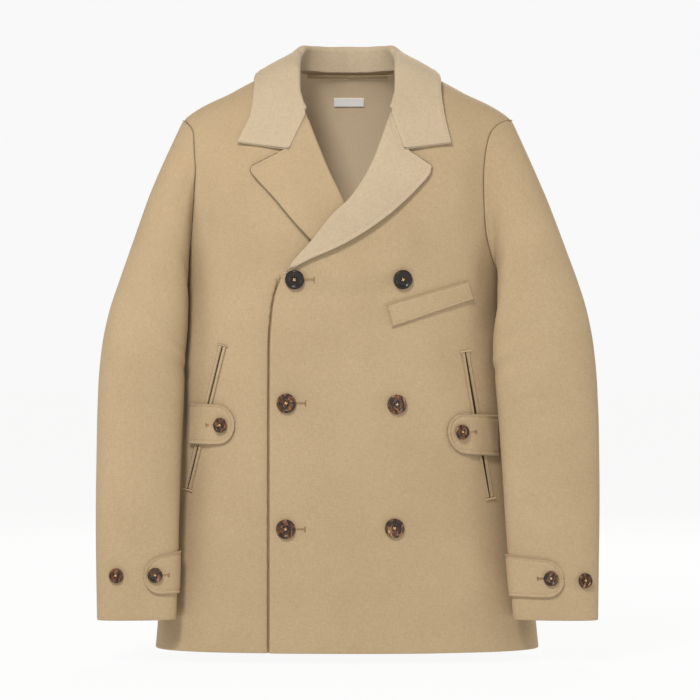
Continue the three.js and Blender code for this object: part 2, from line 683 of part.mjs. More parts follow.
function collarRow(tab, sign, place) {
  const { seam, fold, mid, edge } = collarSection(tab, sign, place);
  const up = fold.clone().sub(seam).normalize();
  const away = mid.clone().sub(fold).normalize();
  const side = away.clone().addScaledVector(up, -away.dot(up)).normalize();
  const radius = DOUBLE + ROLL_GAP / 2;
  const centre = fold.clone().addScaledVector(side, radius).addScaledVector(up, -radius);
  const start = centre.clone().addScaledVector(side, -radius);
  const row = [];
  for (let k = 0; k < STAND_STEPS; k += 1) row.push(seam.clone().lerp(start, k / STAND_STEPS));
  const turn = Math.acos(Math.max(-1, Math.min(1, away.dot(up))));
  for (let k = 0; k <= FOLD_STEPS; k += 1) {
    const angle = (k / FOLD_STEPS) * Math.min(Math.PI, turn + FOLD_OVERRUN);
    row.push(centre.clone()
      .addScaledVector(side, -radius * Math.cos(angle))
      .addScaledVector(up, radius * Math.sin(angle)));
  }
  const from = row[row.length - 1];
  for (let k = 1; k <= FALL_STEPS; k += 1) {
    const u = k / FALL_STEPS;
    const bent = u < 0.5 ? from.clone().lerp(mid, u * 2) : mid.clone().lerp(edge, u * 2 - 1);
    row.push(bent);
  }
  return row;
}
function collarWall() {
  const grid = [];
  for (let i = COLLAR_STATIONS; i >= 0; i -= 1) grid.push(collarRow(COLLAR_RIGHT, -1, i / COLLAR_STATIONS));
  for (let i = 1; i <= COLLAR_STATIONS; i += 1) grid.push(collarRow(COLLAR_LEFT, 1, i / COLLAR_STATIONS));
  return wall(grid, DOUBLE, { outward: () => vec(0, -1, 0) });
}

// Pieces lying on the fronts below the underarm, made from the front's own points moved out
function frontSurface(side) {
  const lapped = side === 'left';
  return (x, z) => ringPoint(ringAngle(x, z), z, 'front', lapped);
}
function liftedFront(side, x, z, lift) {
  const surface = frontSurface(side);
  const n = surfaceNormal(surface, x, z, NORMAL_STEP, frontward(x));
  return surface(x, z).addScaledVector(n, lift);
}
function patch(rows, columns, place, thick) {
  const grid = [];
  for (let r = 0; r <= rows; r += 1) {
    const row = [];
    for (let c = 0; c <= columns; c += 1) row.push(place(r / rows, c / columns));
    grid.push(row);
  }
  return wall(grid, thick, { outward: () => FRONT });
}
function pocketLine(pocket, u) {
  const sign = sideSign(pocket.side);
  return vec(sign * lerp(pocket.top_x, pocket.low_x, u), 0, lerp(pocket.top_z, pocket.low_z, u));
}
function pocketAcross(pocket) {
  const run = pocketLine(pocket, 1).sub(pocketLine(pocket, 0)).normalize();
  return vec(-run.z, 0, run.x);
}
function pocketLip(pocket, which) {
  const across = pocketAcross(pocket).multiplyScalar(which);
  return patch(10, 2, (u, v) => {
    const p = pocketLine(pocket, u).addScaledVector(across, SLIT / 2 + LIP_WIDTH * v);
    return liftedFront(pocket.side, p.x, p.z, LIP_THICK + LIP_LIFT);
  }, LIP_THICK);
}
function tipShare(fromTip) {
  const round = Math.min(1, fromTip / TAB_ROUND);
  return Math.max(TAB_TIP, Math.sqrt(1 - (1 - round) ** TAB_POWER));
}
function waistTab(tab) {
  const sign = sideSign(tab.side);
  const pocket = POCKETS.find((p) => p.side === tab.side);
  const place = (u, v) => {
    const along_x = lerp(tab.tip_x, tab.end_x, u ** TAB_EASE);
    const from_tip = along_x - tab.tip_x;
    const half = (tab.height / 2) * tipShare(from_tip);
    const z = lerp(tab.tip_z, tab.end_z, u) + half * (1 - 2 * v);
    const over = (z - pocket.top_z) / (pocket.low_z - pocket.top_z);
    const away = Math.abs(along_x - lerp(pocket.top_x, pocket.low_x, over));
    const lift = SEAM + OVER_LIP.lift * (1 - smooth(OVER_LIP.near, OVER_LIP.far, away));
    return liftedFront(tab.side, sign * along_x, z, DOUBLE + lift);
  };
  return patch(12, 6, place, DOUBLE);
}
function breastWelt() {
  return patch(8, 2, (u, v) => {
    const x = lerp(WELT.inner_x, WELT.outer_x, u) + WELT.shift * v;
    const z = lerp(WELT.inner_z, WELT.outer_z, u) - lerp(WELT.drop_inner, WELT.drop_outer, u) * v;
    return liftedFront('left', x, z, DOUBLE + 2 * SEAM);
  }, DOUBLE);
}

// Cuff straps: round the sleeve from the tip past its inner edge
function sleevePlaceAt(side, turn, z) {
  let low = 0.3;
  let high = 1;
  for (let i = 0; i < HALVINGS; i += 1) {
    const mid = (low + high) / 2;
    if (sleevePoint(side, mid, turn).z > z) low = mid;
    else high = mid;
  }
  return (low + high) / 2;
}
function sleeveNormal(side, place, turn) {
  const surface = (a, b) => sleevePoint(side, a, b);
  return surfaceNormal(surface, place, turn, TURN_STEP, surface(place, turn).sub(sleeveAxis(side, place)));
}
function liftedSleeve(side, place, turn, lift) {
  return sleevePoint(side, place, turn).addScaledVector(sleeveNormal(side, place, turn), lift);
}
function cuffTab(tab) {
  const tipTurn = turnAtX(tab.side, tab.tip_x, CUFF_PLACE);
  const place = (u, v) => {
    const turn = lerp(tipTurn, tab.end, u ** CUFF_TAB.ease);
    const past = turn > CUFF_TAB.behind ? TAB_ROUND : 0;
    const fromTip = Math.abs(Math.abs(sleevePoint(tab.side, CUFF_PLACE, turn).x) - tab.tip_x) + past;
    const flare = smooth(CUFF_TAB.from, CUFF_TAB.to, u);
    const top = (tab.height / 2) * tipShare(fromTip) + CUFF_TAB.rise * flare;
    const low = (tab.height / 2) * tipShare(fromTip) - CUFF_TAB.cut * flare;
    const z = tab.z + lerp(top, -low, v);
    return liftedSleeve(tab.side, sleevePlaceAt(tab.side, turn, z), turn, DOUBLE + SEAM);
  };
  return patch(16, 6, place, DOUBLE);
}

// Buttons with a raised rim and four holes
function manifoldOf(geometry) {
  const bare = new THREE.BufferGeometry();
  bare.setAttribute('position', geometry.getAttribute('position').clone());
  if (geometry.index) bare.setIndex(geometry.index.clone());
  const merged = mergeVertices(bare, 1e-4);
  return new wasm.Manifold(new wasm.Mesh({
    numProp: 3,
    vertProperties: new Float32Array(merged.getAttribute('position').array),
    triVerts: new Uint32Array(merged.index.array),
  }));
}
function geometryOf(solid) {
  const mesh = solid.getMesh();
  const geometry = new THREE.BufferGeometry();
  geometry.setAttribute('position', new THREE.BufferAttribute(new Float32Array(mesh.vertProperties), 3));
  geometry.setIndex([...mesh.triVerts]);
  return geometry;
}
function buttonSolid(size) {
  const { radius, thick, rim } = size;
  const points = BUTTON_PROFILE.map(([r, h, dip]) => new THREE.Vector2(radius * r, thick * h - rim * dip));
  let solid = manifoldOf(new THREE.LatheGeometry(points, BUTTON_SIDES));
  for (let i = 0; i < 4; i += 1) {
    const angle = Math.PI / 4 + (i * Math.PI) / 2;
    const hole = new THREE.CylinderGeometry(size.hole, size.hole, thick * 3, 6);
    hole.translate(size.spread * Math.cos(angle), 0, size.spread * Math.sin(angle));
    solid = solid.subtract(manifoldOf(hole));
  }
  return geometryOf(solid);
}
const frontButton = buttonSolid(FRONT_BUTTON);
const smallButton = buttonSolid(SMALL_BUTTON);
function placedButton(source, base, normal) {
  const geometry = source.clone();
  const across = vec(0, 0, 1).cross(normal).normalize();
  const up = normal.clone().cross(across);
  const basis = new THREE.Matrix4().makeBasis(across, normal, up.negate());
  basis.setPosition(base);
  geometry.applyMatrix4(basis);
  return geometry;
}
// The object
const coat = new THREE.Group();
coat.name = 'pea_coat';
function add(name, geometry, surface) {
  const mesh = new THREE.Mesh(geometry, surface.clone());
  mesh.name = name;
  coat.add(mesh);
}
const fromMiddle = (p) => vec(p.x, p.y, 0);
const frontEdges = { outward: fromMiddle, adjust: squareSeams([FRONT_COLUMNS]) };
add('front_right', wall(frontRight, CLOTH, frontEdges), WOOL);
add('front_left', wall(frontLeft, CLOTH, frontEdges), WOOL);
add('back', wall(back, CLOTH, { outward: fromMiddle, adjust: backSeams }), WOOL);
add('sleeve_right', sleeveWall('right'), WOOL);
add('sleeve_left', sleeveWall('left'), WOOL);
add('lapel_right', lapelWall(LAPEL_RIGHT, false), WOOL);
add('lapel_left', lapelWall(LAPEL_LEFT, true), WOOL);
add('collar', collarWall(), WOOL);

// Lining of the back, the strip under the neck seam and the label
const LINING_FIRST_ROW = 6;
const LINING_TOP = 0.2;
const topRow = back[back.length - 2].map((p, c) => p.clone().lerp(back[back.length - 1][c], LINING_TOP));
const liningGrid = [...back.slice(LINING_FIRST_ROW, -1), topRow].map((row) => row.slice(1, -1));
function insetGrid(grid, inset) {
  return grid.map((row, r) => row.map((p, c) => {
    const dr = grid[Math.min(grid.length - 1, r + 1)][c].clone().sub(grid[Math.max(0, r - 1)][c]);
    const dc = row[Math.min(row.length - 1, c + 1)].clone().sub(row[Math.max(0, c - 1)]);
    const n = dr.cross(dc).normalize();
    if (n.dot(vec(p.x, p.y, 0)) < 0) n.negate();
    return p.clone().addScaledVector(n, -inset);
  }));
}
add('back_lining', wall(insetGrid(liningGrid, LINING_INSET), LINING, { outward: fromMiddle }), LINING_CLOTH);
function insidePatch(rows, columns, box) {
  const grid = [];
  for (let r = 0; r <= rows; r += 1) {
    const row = [];
    for (let c = 0; c <= columns; c += 1) {
      const x = box.x + box.half * (2 * (c / columns) - 1);
      const z = box.z + box.high * (r / rows - 0.5);
      row.push(yokeOut(x, yokePlace(x, z), -box.inset));
    }
    grid.push(row);
  }
  return wall(grid, box.thick, { outward: fromMiddle });
}
add('neck_tape', insidePatch(1, 10, NECK_TAPE), WOOL);
add('label', insidePatch(2, 4, LABEL), LABEL_CLOTH);

// Pockets, straps and the welt
POCKETS.forEach((pocket) => {
  add(`pocket_lip_${pocket.side}_a`, pocketLip(pocket, 1), WOOL);
  add(`pocket_lip_${pocket.side}_b`, pocketLip(pocket, -1), WOOL);
});
WAIST_TABS.forEach((tab) => add(`waist_tab_${tab.side}`, waistTab(tab), WOOL));
CUFF_TABS.forEach((tab) => add(`cuff_tab_${tab.side}`, cuffTab(tab), WOOL));
add('breast_welt', breastWelt(), WOOL);

// Buttons in their places
FRONT_BUTTONS.forEach(({ name, x, z, lift }) => {
  const surface = frontSurface('left');
  const n = surfaceNormal(surface, x, z, NORMAL_STEP, FRONT);
  add(name, placedButton(frontButton, surface(x, z).addScaledVector(n, lift), n), HORN);
});
WAIST_TABS.forEach((tab) => {
  const x = sideSign(tab.side) * (tab.tip_x + TAB_BUTTON);
  const surface = frontSurface(tab.side);
  const n = surfaceNormal(surface, x, tab.tip_z, NORMAL_STEP, frontward(x));
  const base = liftedFront(tab.side, x, tab.tip_z, DOUBLE + SEAM);
  const at = base.addScaledVector(n, WAIST_BUTTON_LIFT);
  add(`button_waist_${tab.side}`, placedButton(smallButton, at, n), HORN);
});
function sleeveButton(side, turn, z, lift) {
  const place = sleevePlaceAt(side, turn, z);
  return placedButton(smallButton, liftedSleeve(side, place, turn, lift), sleeveNormal(side, place, turn));
}
function turnAtX(side, x, place) {
  let low = 0.05;
  let high = 0.95;
  for (let i = 0; i < HALVINGS; i += 1) {
    const mid = (low + high) / 2;
    if (Math.abs(sleevePoint(side, place, mid).x) > x) low = mid;
    else high = mid;
  }
  return (low + high) / 2;
}
CUFF_TABS.forEach((tab) => {
  const turn = turnAtX(tab.side, tab.button_x, CUFF_PLACE);
  add(`button_cuff_tab_${tab.side}`, sleeveButton(tab.side, turn, tab.z, DOUBLE + SEAM + BUTTON_LIFT), HORN);
});
SLEEVE_BUTTONS.forEach(({ name, side, x, z }) => {
  add(name, sleeveButton(side, turnAtX(side, x, CUFF_PLACE), z, BUTTON_LIFT), HORN);
});

export default coat;
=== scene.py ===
import math

import bpy
import numpy as np
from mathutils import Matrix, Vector


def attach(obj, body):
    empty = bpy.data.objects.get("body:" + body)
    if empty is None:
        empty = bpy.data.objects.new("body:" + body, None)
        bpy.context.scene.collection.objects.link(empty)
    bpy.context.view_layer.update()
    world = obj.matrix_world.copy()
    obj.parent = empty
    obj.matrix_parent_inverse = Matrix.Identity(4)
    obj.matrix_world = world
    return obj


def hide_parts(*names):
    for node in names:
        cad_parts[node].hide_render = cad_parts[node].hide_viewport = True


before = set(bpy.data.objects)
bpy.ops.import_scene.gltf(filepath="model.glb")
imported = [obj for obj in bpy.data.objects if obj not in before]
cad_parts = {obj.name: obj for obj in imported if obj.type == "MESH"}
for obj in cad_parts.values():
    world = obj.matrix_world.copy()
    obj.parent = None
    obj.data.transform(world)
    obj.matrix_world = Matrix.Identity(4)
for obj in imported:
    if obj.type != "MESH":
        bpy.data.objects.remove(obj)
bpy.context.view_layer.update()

# Sizes in millimetres: the same cloth, seams and gaps as the coat's solids
CLOTH = 2.4
DOUBLE = 3.0
LINING = 1.0
SEAM = 0.3
ROLL_GAP = 1.6
LEAF_GAP = 1.1
ROLL_SHORT = 9.5
HEM_Z = -745
UNDERARM_Z = -270
YOKE_POWER = 3
ARMHOLE_BLEND = 0.16
ARMHOLE_GAP = 0.45


def table(names, rows):
    """Named columns of numbers, as arrays."""
    return {name: np.array([row[i] for row in rows], float) for i, name in enumerate(names.split())}


BODY = table("z right left front back square", [
    [-745, 249, 248, 115, 108, 2.5],
    [-680, 243, 241, 114, 107, 2.5],
    [-600, 230, 224, 113, 105, 2.5],
    [-520, 219, 210, 113, 101, 2.5],
    [-450, 215, 204, 113, 97, 2.5],
    [-390, 213.5, 201, 114, 96, 2.5],
    [-330, 211.5, 199.5, 116, 100, 2.5],
    [-270, 210, 201, 118, 106, 2.5],
    [-210, 214, 210, 118, 108, 2.5],
    [-150, 218, 216, 117, 108, 2.5],
    [-60, 222, 222, 114, 104, 2.5],
    [40, 224, 224, 112, 100, 2.5],
])
SHOULDER = table("x z", [
    [0, 28], [33, 21], [66, 7.5], [90, 1.5], [119, -9.5], [155, -28.5], [184, -42], [205, -55], [216, -65],
])
ARMHOLES = {
    ("front", -1): table("z x", [
        [-270, 210], [-262, 208.5], [-240, 204], [-200, 200], [-156, 197], [-128, 195.5],
        [-108, 197], [-83, 198.6], [-73.6, 201.5], [-67, 207], [-63, 213],
    ]),
    ("front", 1): table("z x", [
        [-270, 201], [-265, 198.5], [-245, 187.5], [-200, 177], [-143, 174.5], [-108, 177],
        [-96, 179.4], [-86, 182], [-79, 185], [-73, 190], [-67, 197], [-63, 213],
    ]),
    ("back", -1): table("z x", [
        [-270, 210], [-264, 208], [-240, 200], [-180, 194], [-110, 196], [-75, 203], [-63, 213],
    ]),
    ("back", 1): table("z x", [
        [-270, 201], [-265, 199], [-240, 194], [-180, 192], [-110, 196], [-75, 203], [-63, 213],
    ]),
}
ROLL = {
    1: table("z x", [
        [-270, -84.5], [-250, -69.4], [-222, -46.2], [-191, -22], [-165, 6.2],
        [-122, 30.5], [-57, 53.1], [-17, 61.5], [0, 64], [7.5, 66],
    ]),
    -1: table("z x", [
        [-270, 66], [-236, 38], [-202, 13], [-172, -2.8],
        [-134, -22], [-98, -37], [-65.5, -48.7], [-30, -59], [0, -64], [7.5, -66],
    ]),
}
EDGE = {
    1: table("z x", [
        [-745, -98.8], [-474, -98.8], [-356, -98.2], [-314, -95.3], [-289, -91], [-270, -84.5],
    ]),
    -1: table("z x", [
        [-745, 84], [-474, 84], [-356, 83], [-314, 79], [-289, 73], [-270, 66],
    ]),
}
LAPEL = {
    1: table("roll_x roll_z mid_x mid_z edge_x edge_z", [
        [-84, -264, -80, -261.5, -76, -259.5],
        [-67, -245, -58, -246, -49, -246.5],
        [-46.2, -222, -27, -226.5, -6, -227.5],
        [-22, -191, 6, -199, 33, -204],
        [6.2, -163, 40, -172, 70, -174.5],
        [30.5, -122, 68, -132, 105, -136],
        [54.4, -56.5, 72, -103.5, 107, -126.5],
    ]),
    -1: table("roll_x roll_z mid_x mid_z edge_x edge_z", [
        [58, -256, 53, -257, 48, -258],
        [38, -236, 24, -244, 10, -251],
        [13, -202, -8, -219, -30, -235],
        [-8, -162, -34, -186, -60, -207],
        [-22, -134, -58, -155, -92, -169],
        [-36, -100, -80, -122, -123, -133],
        [-52.2, -58, -74.2, -103.5, -121.4, -126.5],
    ]),
}
COLLAR_NAMES = "seam_x seam_s fold_x fold_s fold_up mid_x mid_s edge_x edge_s"
COLLAR_BACK_ROWS = [
    [0, 0.262, 0, 0.28, 31.3, 0, 0.33, 0, 0.43],
    [30, 0.222, 27, 0.242, 29.7, 32, 0.31, 44, 0.4],
    [52, 0.135, 47, 0.155, 26.2, 60, 0.24, 82, 0.33],
    [64, 0.045, 56, 0.05, 21.5, 80, 0.12, 104, 0.2],
    [67, 0, 59.5, 0, 13.5, 85, 0, 110.5, 0.03],
    [67.5, -0.12, 61.5, -0.13, 8, 89, -0.13, 116.5, -0.17],
    [67, -0.24, 61.5, -0.26, 3, 89, -0.28, 118.5, -0.31],
    [64, -0.36, 60, -0.38, 1, 87, -0.42, 122, -0.43],
]
COLLAR = {
    1: table(COLLAR_NAMES, COLLAR_BACK_ROWS + [[58, -0.485, 53.1, -0.511, 0, 70.5, -0.638, 131.3, -0.57]]),
    -1: table(COLLAR_NAMES, COLLAR_BACK_ROWS + [[56, -0.495, 50.8, -0.52, 0, 72.8, -0.638, 139.8, -0.555]]),
}
NECK_CORNER = 66
NECKLINE = table("x s", [[0, 0.267], [30, 0.228], [50, 0.152], [60, 0.09], [66, 0]])
SLEEVE_NAMES = "outer_x outer_z inner_x inner_z mid_y deep lean square"
SLEEVE = {
    -1: table(SLEEVE_NAMES, [
        [216.5, -66, 211, -271, -5, 54, 0, 2],
        [227, -90, 205, -284, -8, 58, 12, 2],
        [241.5, -124, 202, -300, -12, 60, 20, 2],
        [256, -160, 200.5, -318, -17, 61, 24, 2],
        [269, -197, 201, -337, -22, 61, 28, 2],
        [282, -234, 203.5, -357, -27, 61, 29, 2],
        [295, -272, 206, -378, -31, 60, 31, 2],
        [307, -311, 207, -400, -35, 59, 32, 2],
        [316, -358, 208.5, -424, -39, 57, 32, 2.05],
        [321, -410, 211, -452, -40, 54, 27, 2.1],
        [322.6, -465, 213, -490, -47, 50, 25, 2.15],
        [322.8, -525, 214.5, -537, -56, 44, 22, 2.2],
        [322.3, -585, 216, -590, -66, 38, 17, 2.3],
        [321, -645, 217, -647, -77, 31, 10, 2.4],
        [319.3, -704, 218.4, -703, -85, 25, 4, 2.5],
    ]),
    1: table(SLEEVE_NAMES, [
        [216.5, -66, 204.5, -271, -8, 56, 0, 2],
        [226.5, -90, 201, -284, -12, 60, 20, 2],
        [240.5, -124, 191, -300, -18, 62, 30, 2],
        [255.5, -160, 185, -318, -23, 63, 37, 2],
        [269.5, -197, 181, -337, -30, 63, 43, 2],
        [283, -234, 180, -357, -35, 62, 45, 2],
        [296.5, -272, 181, -378, -40, 61, 46, 2],
        [308, -311, 184, -400, -44, 59, 46, 2],
        [316.5, -358, 188, -424, -48, 57, 44, 2.05],
        [321.3, -410, 192, -452, -49, 54, 38, 2.1],
        [323, -465, 195.5, -490, -55, 50, 34, 2.15],
        [323.1, -525, 199.5, -537, -62, 44, 28, 2.2],
        [322.4, -585, 203.5, -590, -71, 37, 20, 2.3],
        [321, -645, 207.5, -647, -79, 30, 11, 2.4],
        [319.3, -704, 211.5, -703, -86, 25, 4, 2.5],
    ]),
}

# Soft folds, as ridges and troughs between two points: x, z, x, z, width, height
FRONT_FOLDS = [
    [170, -60, 188, -350, 21, -9.5], [-178, -80, -196, -330, 15, -3.2], [168, -440, 190, -745, 34, -4.5],
    [-192, -470, -214, -745, 18, -2.5], [-203, -285, -212, -560, 9, 7], [196, -285, 204, -560, 9, 6],
    [-172, -500, -196, -730, 26, 2.4], [-128, -520, -140, -735, 30, -1.3], [-205, -540, -224, -735, 14, -1.8],
    [158, -510, 186, -728, 25, 2.2], [108, -540, 122, -738, 32, -1.2], [192, -560, 214, -732, 15, -1.9],
    [-196, -168, -150, -262, 15, -1.7], [-182, -150, -132, -232, 17, 1.2], [178, -150, 138, -236, 16, -1.5],
    [170, -196, 134, -268, 14, 1.0], [-140, -44, -172, -120, 22, 0.9], [120, -30, 160, -112, 24, 0.8],
    [-206, -300, -168, -392, 16, -1.5], [196, -292, 160, -372, 15, -1.4], [20, -330, 44, -560, 60, 0.8],
    [-188, -398, -206, -470, 13, 1.0], [182, -388, 196, -455, 13, 0.9],
]
BACK_FOLDS = [
    [-150, -430, -190, -735, 30, 4.8], [-82, -470, -96, -735, 34, -3.7], [10, -500, 6, -738, 40, 2.7],
    [96, -480, 112, -735, 33, -4.1], [160, -440, 192, -735, 28, 4.4], [-190, -120, -110, -230, 22, 3.2],
    [186, -118, 118, -224, 20, 2.9], [-176, -190, -96, -268, 18, -2.7], [178, -186, 92, -276, 19, -3.1],
    [-60, -30, -130, -110, 26, 1.7], [52, -34, 122, -104, 28, 1.5], [-170, -330, -60, -396, 24, -3.2],
    [150, -344, 40, -402, 26, -2.7], [-120, -376, 20, -420, 22, 2.4],
]
# On the sleeves: place along, turns round, place, turns, width and height
SLEEVE_FOLDS = {
    -1: [
        [0.40, 0.82, 0.47, 0.34, 13, -2.6], [0.45, 0.95, 0.53, 0.52, 12, -2.1],
        [0.43, 0.90, 0.50, 0.44, 11, 1.7], [0.12, 0.70, 0.24, 0.36, 17, -1.7],
        [0.16, 1.10, 0.26, 1.50, 18, -2.2], [0.42, 1.20, 0.50, 1.66, 15, -2.6],
        [0.47, 1.12, 0.55, 1.54, 13, -2.2], [0.44, 1.14, 0.52, 1.60, 12, 1.8],
        [0.60, 0.60, 0.86, 0.46, 22, -1.0], [0.58, 1.30, 0.84, 1.44, 24, -1.6],
        [0.20, 0.16, 0.38, 0.30, 20, 1.2], [0.84, 0.75, 0.90, 0.40, 12, -0.9],
        [0.05, 1.80, 0.20, 1.62, 20, 1.4],
    ],
    1: [
        [0.41, 0.78, 0.49, 0.30, 14, -2.3], [0.46, 0.93, 0.54, 0.50, 12, -2.3],
        [0.44, 0.86, 0.52, 0.40, 12, 1.6], [0.11, 0.74, 0.23, 0.38, 16, -1.9],
        [0.15, 1.14, 0.27, 1.54, 19, -2.0], [0.41, 1.16, 0.50, 1.62, 14, -2.4],
        [0.47, 1.08, 0.56, 1.50, 13, -2.4], [0.43, 1.12, 0.53, 1.56, 12, 2.0],
        [0.61, 0.62, 0.85, 0.48, 21, -1.2], [0.57, 1.34, 0.86, 1.48, 23, -1.4],
        [0.18, 0.14, 0.36, 0.28, 22, 1.1], [0.83, 0.78, 0.90, 0.44, 12, -0.8],
        [0.06, 1.78, 0.22, 1.58, 19, 1.5],
    ],
}
# Length of a sleeve and of half a turn round it, as the widths of its folds are measured
SLEEVE_LENGTH = 650
SLEEVE_TURN = 185

FRONT_BUTTON = dict(radius=12.4, thick=4.2, rim=1.1, hole=1.15, spread=2.7)
SMALL_BUTTON = dict(radius=9.6, thick=3.6, rim=0.9, hole=0.95, spread=2.1)
FRONT_BUTTONS = [
    ("button_front_top_right", -66.4, -271, 1.6), ("button_front_top_left", 69.5, -270.6, 1.8),
    ("button_front_middle_right", -77.3, -427.7, 0.6), ("button_front_middle_left", 62.6, -429.1, 0.6),
    ("button_front_low_right", -78, -587.2, 0.6), ("button_front_low_left", 59.6, -585.9, 0.6),
]
BUTTON_LIFT = 0.8
WAIST_BUTTON_LIFT = 1.9
TOP_BUTTONS = 2
WAIST_BUTTON_IN = 16.5
POCKETS = {
    -1: dict(top=(158.8, -355.4), low=(204, -538)),
    1: dict(top=(149.7, -363.3), low=(181.5, -549)),
}
LIP_WIDTH = 4
LIP_THICK = 1.5
LIP_LIFT = LIP_THICK + 1.6 * SEAM
SLIT = 1.6
GAPE = 0.7
MOUTH_LIFT = 0.9
WAIST_TABS = {
    -1: dict(tip=(142.9, -455.9), end=(200, -454.5), height=53),
    1: dict(tip=(126.8, -464.5), end=(192, -470), height=53),
}
TAB_ROUND = 26
WELT = dict(inner_x=48.5, inner_z=-302.3, outer_x=152.1, outer_z=-271.5, drop=27, shift=7.5)
CUFF_TABS = {
    -1: dict(z=-646, tip_x=257.9, button_x=244.6, end=1.06, height=50),
    1: dict(z=-650, tip_x=273.5, button_x=257.1, end=1.06, height=50),
}
CUFF_PLACE = 0.92
SLEEVE_BUTTONS = {-1: (292.8, -646.7), 1: (301.2, -653.1)}
LINING_INSET = CLOTH + SEAM + 0.1
LABEL = dict(x=2, half=20, z=-31.5, high=11, thick=0.6, inset=LINING_INSET + LINING + 2 * SEAM)
NECK_TAPE = dict(x=0, half=54, z=1.2, high=4, thick=0.8, inset=LINING_INSET + LINING + 2 * SEAM)
SIDES = {-1: "right", 1: "left"}
FRONT = np.array([0.0, -1.0, 0.0])


def lerp(a, b, u):
    return a + (b - a) * u


def smooth(low, high, at):
    """Three times the square less twice the cube of the share from low to high."""
    u = np.clip((at - low) / (high - low), 0, 1)
    return u * u * (3 - 2 * u)


def smooth_read(keys, values, at):
    """Cubic between rows whose slope is the harmonic mean of the rates beside each row."""
    if keys[0] > keys[-1]:
        keys, values = keys[::-1], values[::-1]
    rate = np.diff(values) / np.diff(keys)
    a, b = rate[:-1], rate[1:]
    total = np.where(a + b == 0, 1, a + b)
    slope = np.concatenate([rate[:1], np.where(a * b <= 0, 0, 2 * a * b / total), rate[-1:]])
    at = np.clip(at, keys[0], keys[-1])
    i = np.clip(np.searchsorted(keys, at, side="right") - 1, 0, len(keys) - 2)
    step = keys[i + 1] - keys[i]
    u = (at - keys[i]) / step
    u2, u3 = u * u, u * u * u
    return (values[i] * (2 * u3 - 3 * u2 + 1) + slope[i] * step * (u3 - 2 * u2 + u)
            + values[i + 1] * (3 * u2 - 2 * u3) + slope[i + 1] * step * (u3 - u2))


def read(tab, name, by, at):
    return smooth_read(tab[by], tab[name], np.asarray(at, float))


def along(tab, place):
    """All columns at a place along the rows, 0 the first row and 1 the last."""
    keys = np.linspace(0, 1, len(next(iter(tab.values()))))
    return {name: smooth_read(keys, values, place) for name, values in tab.items()}


def unit(v):
    return v / np.maximum(1e-9, np.linalg.norm(v, axis=-1, keepdims=True))


def run_length(points, axis):
    """Distance along that axis of a line or grid of points, from 0 at the first."""
    steps = np.linalg.norm(np.diff(points, axis=axis), axis=-1)
    return np.cumsum(np.insert(steps, 0, 0, axis=axis), axis=axis)


def xyz(x, y, z):
    return np.stack(np.broadcast_arrays(x, y, z), axis=-1).astype(float)


def folds(x, z, rows):
    """Each fold is its height times a bell of the distance from its line, fading to nothing at both ends."""
    out = np.zeros(np.broadcast(x, z).shape)
    for ax, az, bx, bz, width, height in rows:
        dx, dz = bx - ax, bz - az
        t = np.clip(((x - ax) * dx + (z - az) * dz) / (dx * dx + dz * dz), 0, 1)
        away = np.hypot(x - ax - t * dx, z - az - t * dz)
        out = out + height * np.exp(-(away / width) ** 2) * np.sin(np.pi * t)
    return out


def waves(a, b):
    """Slow unevenness, from three sine waves that run in different directions."""
    return (0.45 * np.sin(a / 37 + b / 61 + 0.7) + 0.35 * np.sin(a / 53 - b / 43 + 2.1)
            + 0.25 * np.sin(b / 29 + a / 71))


def half_width(x, z):
    return np.where(x < 0, read(BODY, "right", "z", z), read(BODY, "left", "z", z))


def shoulder_z(x):
    return read(SHOULDER, "z", "x", np.abs(x))


def yoke_share(x, z):
    return (z - UNDERARM_Z) / (shoulder_z(x) - UNDERARM_Z)


def yoke_z(x, s):
    return UNDERARM_Z + (1 - s * s) * (shoulder_z(x) - UNDERARM_Z)


def yoke_place(x, z):
    return np.sqrt(np.maximum(0, 1 - yoke_share(x, z)))


def body_depth(x, z, face):
    """Depth of a squarish oval across, closing over the shoulder as the cube root of one less a cube."""
    depth = read(BODY, face, "z", z)
    square = read(BODY, "square", "z", z)
    across = np.minimum(1, np.abs(x) / half_width(x, z))
    share = np.clip(yoke_share(x, z), 0, 1)
    return depth * (1 - across ** square) ** (1 / square) * np.sqrt(1 - share ** YOKE_POWER)


LAP_LIFT = CLOTH + 2 * SEAM
CROSSING = dict(x=5, z=-216, wide=66, high=50, lift=5.3)
# The trough beside the upper front's edge, as bells of depth, place and width, and the heights where it ends
PRESSED = [(5.5, 1.0, 1.5), (1.3, 2, 7)]
PRESSED_END = (-276, -264)


def lap_lift(x, z):
    """How far the upper front stands off over the lower one and over its lapel."""
    lap = (1 - smooth(96, 150, x)) * (1 - smooth(-175, -95, z))
    away = np.hypot((x - CROSSING["x"]) / CROSSING["wide"], (z - CROSSING["z"]) / CROSSING["high"])
    return LAP_LIFT * lap + CROSSING["lift"] * (1 - smooth(1, 1.6, away))


def faced(x, z, depth, face, lapped):
    """Point at that depth, moved in or out by the folds, less towards the seams where the depth closes."""
    rows = FRONT_FOLDS if face == "front" else BACK_FOLDS
    bend = (folds(x, z, rows) + waves(x, z)) * smooth(0, 60, depth)
    if face == "back":
        return xyz(x, depth + bend, z)
    if lapped:
        return xyz(x, -depth - bend - lap_lift(x, z), z)
    past = read(EDGE[1], "x", "z", z) - x
    pressed = sum(deep * np.exp(-((past - at) / wide) ** 2) for deep, at, wide in PRESSED)
    return xyz(x, -depth - bend + pressed * (1 - smooth(*PRESSED_END, z)), z)


def front_point(x, z, lapped):
    return faced(x, z, body_depth(x, z, "front"), "front", lapped)


def yoke_point(x, s, lapped=False):
    z = yoke_z(x, s)
    behind = faced(x, z, body_depth(x, z, "back"), "back", False)
    return np.where((s > 0)[..., None], behind, front_point(x, z, lapped))


